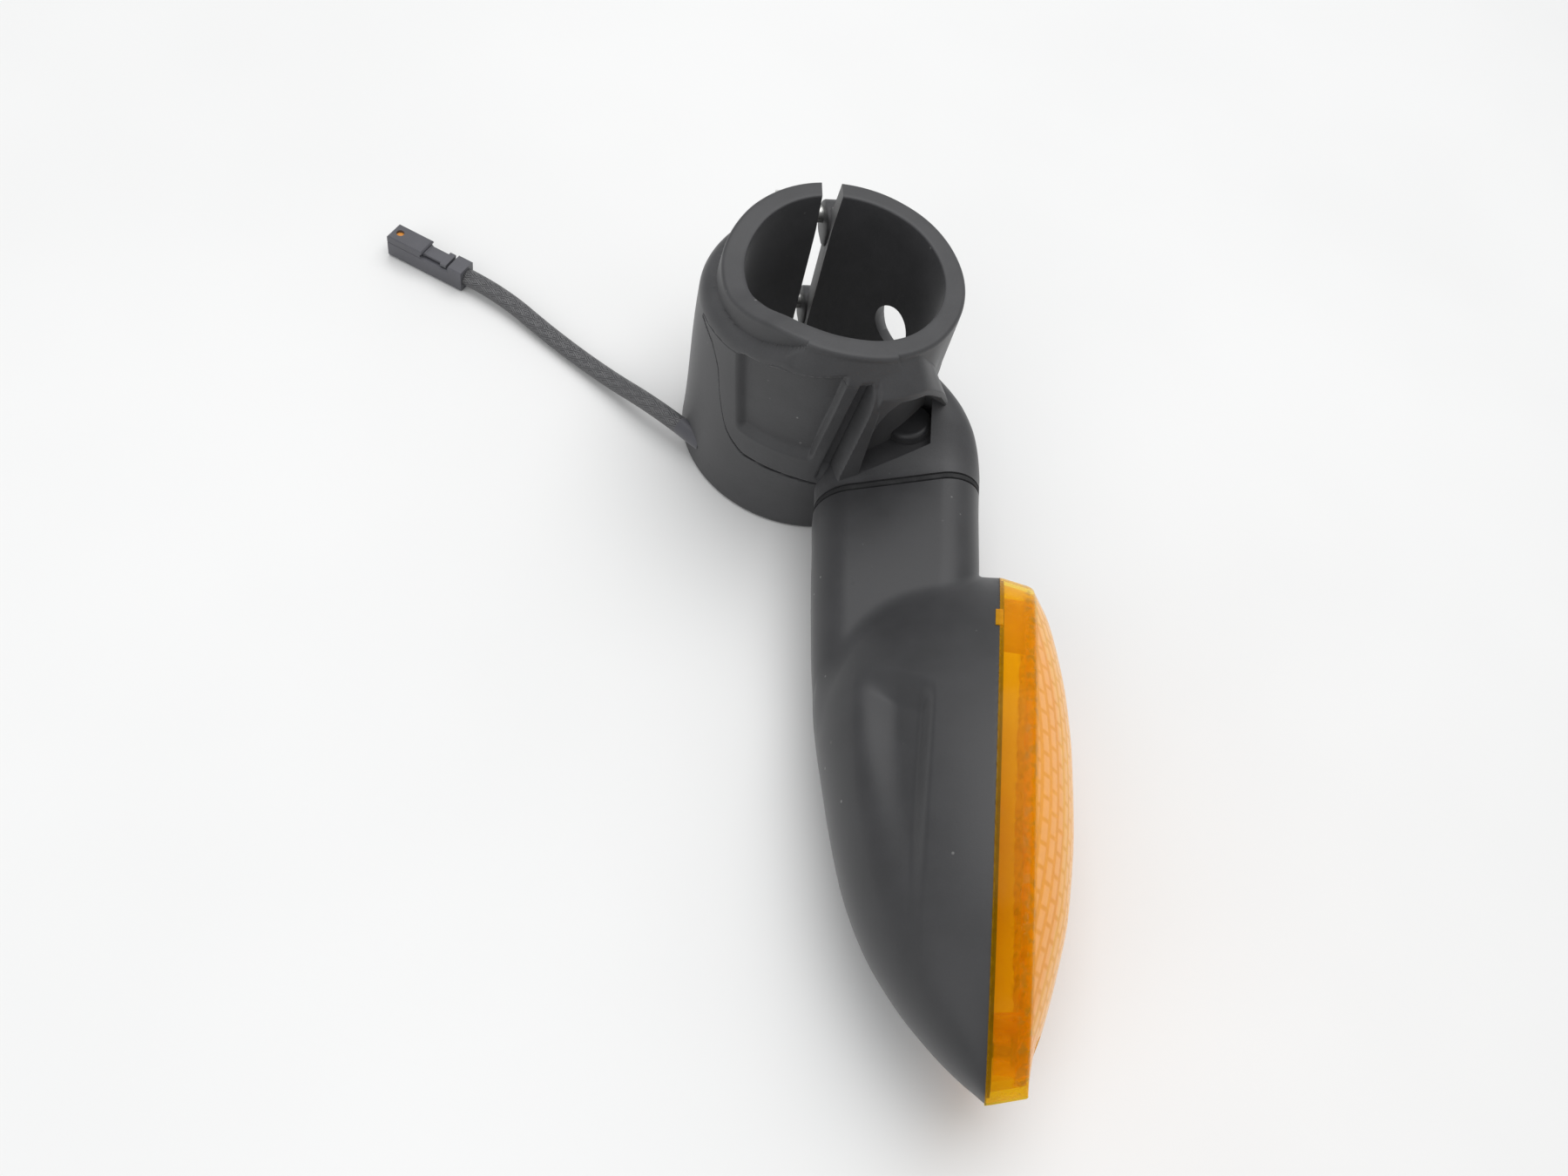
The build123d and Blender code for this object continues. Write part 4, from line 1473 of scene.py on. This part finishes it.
# ---- lamp ----
@dataclass
class Lamp:
    """Housing with its bowl and scooped side, and the fluted amber lens."""

    rim_a: float = 24.0
    rim_h: float = 21.0
    rim_mid: float = 103.6
    rim_half: float = 54.2
    wall: float = 2.2
    foot: float = 23.72
    tip: float = 157.4
    well_at: float = 148.5
    well_r: float = 3.1
    across: int = 121
    back_at: Knots = ((48.0, 4.0), (49.5, 13.0), (52.5, 23.0), (57.0, 29.5), (62.4, 32.7),
                      (68.4, 34.6), (75.0, 36.2), (83.0, 36.9), (91.0, 36.0), (100.0, 34.0),
                      (110.0, 31.6), (121.0, 28.4), (128.0, 25.6), (134.0, 22.5), (140.0, 18.4),
                      (144.0, 15.2), (148.0, 11.4), (151.0, 8.3), (154.0, 4.7), (156.4, 1.4),
                      (157.6, 0.05))
    side: float = 31.0
    stalk: tuple[tuple[float, ...], ...] = (
        (SEAM + SPACER,) + STALK_SEAM, (50.0, -16.9, 19.4, 0.0, 10.4, 8.5),
        (64.0, -15.6, 19.0, 0.0, 9.9, 8.3), (78.0, -14.0, 18.0, 0.0, 8.8, 8.0),
        (90.0, -11.4, 15.0, 0.0, 7.2, 6.6), (100.0, -7.0, 13.0, 0.0, 5.6, 5.0),
        (114.0, 0.0, 8.0, 0.0, 2.0, 1.8))
    crown_at: Knots = ((49, 0.3), (55, 1.6), (61, 3.2), (70, 5.2), (80, 6.8), (93, 7.8),
                       (106, 8.0), (123, 7.0), (134, 5.0), (143, 2.8), (150, 0.9), (157.4, 0.1))

    def rim(self, t: Array) -> Array:
        """Half of the opening's height: h (1 - u^2)^0.6 from its middle."""
        u = np.clip(np.abs(t - self.rim_mid) / self.rim_half, 0, 1)
        return self.rim_h * (1 - u * u) ** 0.6

    def depth(self, t: Array) -> Array:
        """Depth of the bowl behind its opening, a curve through its knots."""
        return through(t, self.back_at)

    def bowl_field(self, a: Array, b: Array, t: Array) -> Array:
        """About the distance to the bowl's D-shaped section, negative inside.

        The D is the cubic a = rim - D (1 - w^2), b = h (3w - w^3) / 2; the distances across
        and up to it are joined as the height of a right triangle on its long side.

        Args:
            a: how far the way the lens faces, in mm.
            b: how far towards the lamp's upper side, in mm.
            t: reach along the lamp, in mm.

        Returns:
            The distance, in mm.
        """
        h = np.maximum(self.rim(t), 1e-3)
        d = np.maximum(self.depth(t), 1e-3)
        w = np.sqrt(np.clip(1 - (self.rim_a - a) / d, 0, 1))
        up = np.abs(b) - h * (3 * w - w ** 3) / 2
        steep = 0.75 * h / d * (1 - w * w) / np.maximum(w, 0.02)
        w = 2 * np.sin(np.arcsin(np.clip(np.abs(b) / h, 0, 1)) / 3)
        across = (self.rim_a - d * (1 - w * w)) - a
        near = np.abs(up * across) / np.sqrt(up ** 2 + across ** 2 + 1e-9)
        field = np.where((up > 0) | (across > 0), near, -near)
        field = np.where(np.abs(b) >= h, up / np.sqrt(1 + steep ** 2), field)
        behind = self.rim_a - d - a
        field = np.where(behind > 0, np.hypot(behind, 0.75 * b), field)
        field = np.maximum(field, a - self.rim_a)
        beyond = (t < self.rim_mid - self.rim_half + 0.3) | (t > self.tip + 0.3)
        return np.where(beyond, OUTSIDE, field)

    def stalk_field(self, a: Array, b: Array, t: Array) -> Array:
        """Distance to the stalk's rounded oblong section, negative inside.

        Args:
            a: how far the way the lens faces, in mm.
            b: how far towards the lamp's upper side, in mm.
            t: reach along the lamp, in mm.

        Returns:
            The distance, in mm.
        """
        left, right, mid, half, corner = stalk_values(t, self.stalk)
        qa = np.abs(a - (left + right) / 2) - ((right - left) / 2 - corner)
        qb = np.abs(b - mid) - (half - corner)
        outside = np.hypot(np.maximum(qa, 0), np.maximum(qb, 0))
        field = outside + np.minimum(np.maximum(qa, qb), 0) - corner
        return np.where(t > 113.5, OUTSIDE, field)

    def field(self, a: Array, b: Array, t: Array) -> Array:
        """Stalk and bowl joined with a small fillet, cut off flat at the opening."""
        joined = soft_min(self.stalk_field(a, b, t), self.bowl_field(a, b, t), 1.6)
        return np.maximum(joined, a - self.rim_a)

    def outline(self, tau: Array, around: int) -> tuple[Array, Array, Array]:
        """Section outlines by rays from an inner line: outermost crossing, then bisection.

        Args:
            tau: reach of each section.
            around: rays in each.

        Returns:
            a, b and t of the points, each (sections, around).
        """
        back = self.rim_a - self.depth(tau)
        stalk_left = stalk_values(tau, self.stalk)[0]
        far_left = np.where(tau < 100, np.minimum(stalk_left, np.where(tau > 49, back, 99)), back)
        right = np.where(tau > 49, self.rim_a, 19.0)
        centre = through(tau, ((32, 0.4), (60, 3.0), (85, 8.0), (110, 12.0), (140, 19.0),
                               (150, 21.6), (157.4, 23.8)))
        centre = np.clip(centre, far_left + 0.02, right - 0.05)[:, None]
        turn = np.linspace(0, 2 * np.pi, around, endpoint=False)[None]
        ca, cb = np.cos(turn), np.sin(turn)
        tau = tau[:, None]
        far = 48.0
        low = np.zeros((tau.shape[0], around))
        high = np.full_like(low, far)
        for step in np.linspace(far - 1, 0, 95):
            trial = np.full_like(low, step)
            within = self.field(centre + trial * ca, trial * cb, tau) < 0
            hit = within & (low == 0) & (high == far)
            low = np.where(hit, trial, low)
            high = np.where(hit, trial + 0.6, high)
        high = np.where(high == far, 0.5, high)
        for _ in range(26):
            middle = (low + high) / 2
            within = self.field(centre + middle * ca, middle * cb, tau) < 0
            low = np.where(within, middle, low)
            high = np.where(within, high, middle)
        a, b = centre + low * ca, low * cb
        reach = tau - SLOPE * a * (1 - ramp(tau, 32, 46))
        return a, b, reach

    def scoop(self, a: Array, t: Array) -> Array:
        """Depth of the scooped hollow: drops at its upper end and runs out towards the tip.

        Args:
            a: how far the way the lens faces, in mm.
            t: reach along the lamp, in mm.

        Returns:
            The depth, in mm.
        """
        left = through(t, ((80, -4.6), (92, -4.0), (110, -1.6), (140, 5.5)))
        fall = ramp(t - 0.4 * a, 80.0, 87.0) * (1 - ramp(t, 88, 148))
        return 3.7 * fall * ramp(a - left, 0, 9.5) * (1 - ramp(a, 9.0, 12.0))

    def scooped(self, a: Array, b: Array, t: Array, start: float) -> Array:
        """Height b drawn in by the scoop, from a start and fully 4 mm further out."""
        return b - np.sign(b) * self.scoop(a, t) * ramp(np.abs(b), start, start + 4.0)

    def section(self, opening: float, h: Array, d: Array, w: Array) -> tuple[Array, Array]:
        """The bowl's D at an opening's a: a - d (1 - w^2) and h (3w - w^3) / 2."""
        return opening - d * (1 - w * w), h * (3 * w - w ** 3) / 2

    def build(self, finish: Finish) -> None:
        """Housing, reflector, seal and lens.

        Args:
            finish: the finishes to dress with.
        """
        self.build_housing(finish)
        self.build_reflector(finish)
        self.build_gasket(finish)
        self.build_lens(finish)

    def build_housing(self, finish: Finish) -> None:
        """Closed shell from the outlines, hollowed by the bowl's own inner shape.

        Args:
            finish: the finishes to dress with.
        """
        tau = spread(SEAM + SPACER, self.tip, ((47.0, 62.0, 0.28), (62, 97, 0.5),
                                               (150, self.tip, 0.22)), 0.02, 0.85)
        a, b, t = self.outline(tau, 300)
        b = self.scooped(a, b, t, 3.0)
        made = tube_piece("housing", lamp_to_row(a, b, t), 34.0)
        s = spread(51.5, 154.6, ((51.5, 56, 0.4), (150, 154.6, 0.4)), 0.05, 2.0)
        w = np.linspace(1, -1, 41)[None]
        h = (self.rim(s) - self.wall)[:, None]
        d = (self.depth(s) - self.wall)[:, None]
        inner_a, inner_b = self.section(self.rim_a, h, d, w)
        ahead = np.full_like(h, self.rim_a + 2.0)
        inner_a = np.concatenate([ahead, inner_a, ahead], 1)
        inner_b = self.scooped(inner_a, np.concatenate([h, inner_b, -h], 1), s[:, None], 2.0)
        cavity = tube_piece("bowl_cut", lamp_to_row(inner_a, inner_b, s[:, None]))
        carve(made, [cavity], 34.0)
        finish.dress(made, "housing_plastic")
        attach(made, Rider.LAMP.value)
        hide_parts("lamp_housing")

    def lens_profile(self, t: Array, inset: float, sink: Array, foot: float,
                     count: int) -> tuple[Array, Array]:
        """One skin of the lens: side wall, rounded shoulder, dome, shoulder, side wall.

        Args:
            t: reach of each section.
            inset: how much smaller in height.
            sink: how much lower the front is, (sections, count) or a number.
            foot: where the side wall starts.
            count: points over the dome.

        Returns:
            a and b, each (sections, points).
        """
        h = np.maximum(self.rim(t) - inset, 0.0)[:, None]
        top = self.side
        r = np.minimum(1.5, 0.6 * h)
        rise = np.linspace(0, 1, 7)[None, :-1]
        turn = np.linspace(0, np.pi / 2, 7)[None, :-1]
        wall_a = foot + (top - r - foot) * rise
        wall_b = h + 0 * rise
        edge_a = top - r + r * np.sin(turn)
        edge_b = h - r + r * np.cos(turn)
        beta = np.linspace(1, -1, count)[None]
        dome_b = beta * (h - r)
        crown = through(t, self.crown_at)[:, None]
        dome_a = top + crown * (1 - np.abs(beta) ** 2.1) - sink
        a = np.concatenate([wall_a, edge_a, dome_a, edge_a[:, ::-1], wall_a[:, ::-1]], 1)
        b = np.concatenate([wall_b, edge_b, dome_b, -edge_b[:, ::-1], -wall_b[:, ::-1]], 1)
        return a, b

    def leaned(self, a: Array, t: Array) -> Array:
        """Reach with the lens's two ends leaned inwards, more so towards its front."""
        ahead = np.maximum(a - self.rim_a, 0)
        return t + ahead * (0.34 * (1 - ramp(t, 50, 64)) - 0.26 * ramp(t, 144, 157))

    def flutes(self, t: Array, b: Array) -> Array:
        """Pillow prisms on the lens's inner face: half-round flutes broken every few mm.

        Args:
            t: reach along the lamp, in mm.
            b: how far towards the lamp's upper side, in mm.

        Returns:
            How far they stand up from the inner face, in mm.
        """
        row = np.floor(b / FLUTE_PITCH)
        across = np.abs(np.sin(np.pi * b / FLUTE_PITCH))
        along = np.abs(np.sin(np.pi * (t / DASH_PITCH + 0.5 * (row % 2))))
        return 0.55 * across ** 0.8 * np.clip(along * 1.6, 0, 1)

    def build_lens(self, finish: Finish) -> None:
        """Outer skin, fluted inner skin and the foot between them, then the screw's well.

        Args:
            finish: the finishes to dress with.
        """
        t = spread(49.5, 157.7, ((49.5, 56, 0.25), (150, 157.7, 0.22)), 0.02, 0.55)
        out_a, out_b = self.lens_profile(t, -0.12, 0.0, self.foot, self.across)
        reach = self.leaned(out_a, np.broadcast_to(t[:, None], out_a.shape))
        inside = np.clip(t, 52.2, 154.9)
        in_a, in_b = self.lens_profile(inside, 2.0, 2.0, self.foot, self.across)
        in_t = np.broadcast_to(inside[:, None], in_a.shape)
        middle = slice(12, 12 + self.across)
        pillow = self.flutes(in_t[:, middle], in_b[:, middle])
        in_a = in_a.copy()
        margin = self.rim(inside)[:, None] - np.abs(in_b[:, middle])
        in_a[:, middle] -= pillow * ramp(margin, 2.6, 4.2)
        in_t = self.leaned(in_a, in_t)
        points = np.stack([
            np.concatenate([out_a, in_a[:, ::-1]], 1), np.concatenate([out_b, in_b[:, ::-1]], 1),
            np.concatenate([reach, in_t[:, ::-1]], 1)])
        loops = lamp_to_row(*points)
        rows, cols = loops.shape[:2]
        made = piece("lens_shell", loops, grid_faces(rows, cols, close_cols=True), 34.0)
        axis, start = lamp_axis(a=1.0), lamp_to_row(0.0, 0.0, self.well_at)
        well = revolve("well_cut", np.array([(self.well_r, 28.0), (self.well_r, 40.0)]), start,
                       axis, 40)
        carve(made, [well], 34.0)
        finish.dress(made, "amber_lens")
        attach(made, Rider.LAMP.value)
        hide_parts("lens")
        ring = np.array([(4.1, 25.0), (4.1, 31.0), (self.well_r, 31.0), (self.well_r, 28.2),
                         (1.6, 28.0), (1.6, 25.0)])
        tube = revolve("lens_well", ring, start, axis, 40)
        finish.dress(tube, "amber_flutes")
        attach(tube, Rider.LAMP.value)
        self.build_tab(finish)
        self.build_ribs(finish)

    def build_tab(self, finish: Finish) -> None:
        """Small locating tab of the lens that sits in the housing's edge, on its upper side.

        Args:
            finish: the finishes to dress with.
        """
        across = np.array([22.9, 23.0, 24.3, 24.4])[None]
        t = np.linspace(65.8, 70.6, 12)[:, None]
        top = self.rim(t) + 0.28
        loop_a = np.concatenate([across + 0 * t, across[:, ::-1] + 0 * t], 1)
        loop_b = np.concatenate([top - np.array([[0.12, 0, 0, 0.12]]),
                                 top - 1.3 + 0 * across], 1)
        made = tube_piece("lens_tab", lamp_to_row(loop_a, loop_b, t + 0 * loop_a))
        finish.dress(made, "amber_flutes")
        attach(made, Rider.LAMP.value)

    def build_ribs(self, finish: Finish) -> None:
        """Thin walls across the lens near its ends, as wide as its inner side walls.

        Args:
            finish: the finishes to dress with.
        """
        for name, t, lean in (("rib_upper", 60.5, 0.12), ("rib_lower", 145.5, -0.1)):
            h = float(self.rim(np.array(t))) - 1.9
            a = np.array([24.4, 30.6, 30.6, 24.4])[None] + np.zeros((2, 1))
            b = np.array([h, h, -h, -h])[None] + np.zeros((2, 1))
            reach = t + np.array([[-0.5], [0.5]]) + lean * (a - 24.4)
            made = tube_piece(f"lens_{name}", lamp_to_row(a, b, reach))
            finish.dress(made, "amber_flutes")
            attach(made, Rider.LAMP.value)

    def build_gasket(self, finish: Finish) -> None:
        """Foam seal: a flat ring that follows the opening, inside its edge.

        Args:
            finish: the finishes to dress with.
        """
        count = 240
        turn = np.linspace(0, 2 * np.pi, count, endpoint=False)
        t = self.rim_mid - (self.rim_half - 2.0) * np.cos(turn)
        outer = np.sign(np.sin(turn)) * np.maximum(self.rim(t) - 1.0, 0.15)
        inner_t = self.rim_mid + (t - self.rim_mid) * 0.975
        inner = outer * 0.93
        a = np.array([23.8, 24.6, 24.6, 23.8])[None] + np.zeros((count, 1))
        b = np.stack([outer, outer, inner, inner], 1)
        reach = np.stack([t, t, inner_t, inner_t], 1)
        made = piece("seal_ring", lamp_to_row(a, b, reach),
                     grid_faces(count, 4, close_rows=True, close_cols=True))
        finish.dress(made, "seal_foam")
        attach(made, Rider.LAMP.value)
        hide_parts("lens_gasket")

    def build_reflector(self, finish: Finish) -> None:
        """Bright dish: the bowl's inner shape again, a little smaller, as a thin shell.

        Args:
            finish: the finishes to dress with.
        """
        t = spread(54.0, 153.4, (), 0.05, 1.4)
        w = np.linspace(1, -1, 61)[None]
        sides = []
        for gap in (0.35, 1.05):
            h = (self.rim(t) - self.wall - gap)[:, None]
            d = (self.depth(t) - self.wall - gap)[:, None] * 0.86
            a, b = self.section(self.rim_a - 0.3, h, d, w)
            ridge = 0.25 * np.abs(np.sin(t[:, None] * 0.9)) * ramp(np.abs(w), 0.1, 0.4)
            b = b - np.sign(b) * (self.scoop(a, t[:, None]) * ramp(np.abs(b), 2.0, 6.0) + ridge)
            sides.append((a, b))
        a = np.concatenate([sides[0][0], sides[1][0][:, ::-1]], 1)
        b = np.concatenate([sides[0][1], sides[1][1][:, ::-1]], 1)
        made = tube_piece("reflector_dish", lamp_to_row(a, b, t[:, None] + 0 * a))
        holder = revolve("holder_cut", np.array([(10.2, 0.0), (10.2, 42.0)]),
                         lamp_to_row(8.0, 0.0, 40.0), lamp_axis(t=1.0), 64)
        carve(made, [holder], 30.0)
        finish.dress(made, "reflector_bright")
        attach(made, Rider.LAMP.value)
        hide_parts("reflector")


# ---- everything ----
# CAD nodes that keep their shape, and their finishes
CARRIED: dict[str, str] = {
    "clamp_screw": "zinc_steel", "clamp_washer": "zinc_steel", "clamp_nut": "zinc_steel",
    "pivot_nut": "zinc_steel", "pivot_bush": "zinc_steel", "lens_screw": "black_steel",
    "bulb_holder": "tin_brass", "bulb_contact": "tin_brass", "bulb_cap": "brass",
    "bulb_glass": "bulb_glass", "bulb_filament": "tungsten", "lamp_leads": "wire_jacket",
    "arm_leads": "wire_jacket", "connector_shell": "connector_plastic",
    "connector_lock": "connector_plastic", "connector_peg": "peg_orange",
    "connector_latch": "connector_plastic", "connector_terminal": "tin_brass",
    "connector_seal": "black_rubber",
}


def main() -> None:
    """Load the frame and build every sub-assembly in order."""
    logging.basicConfig(level=logging.INFO, format="%(name)s: %(message)s")
    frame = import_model()
    nodes = frame["nodes"]
    finish = Finish()
    studio = Studio()
    studio.camera()
    lead = FlyingLead()
    lead.build(finish, nodes)
    lead.build_grommet(finish)
    LOG.info("lead built")
    ForkSleeve().build(finish)
    LOG.info("sleeve and cover built")
    Elbow().build(finish)
    LOG.info("arm, cap and spacer built")
    Lamp().build(finish)
    LOG.info("housing and lens built")
    finish.dress_nodes(nodes, CARRIED)
    studio.floor(finish)
    studio.lights()
    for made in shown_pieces():
        LOG.info("%s: %d faces", made.name, len(getattr(made.data, "polygons", ())))


if __name__ == "__main__":
    main()
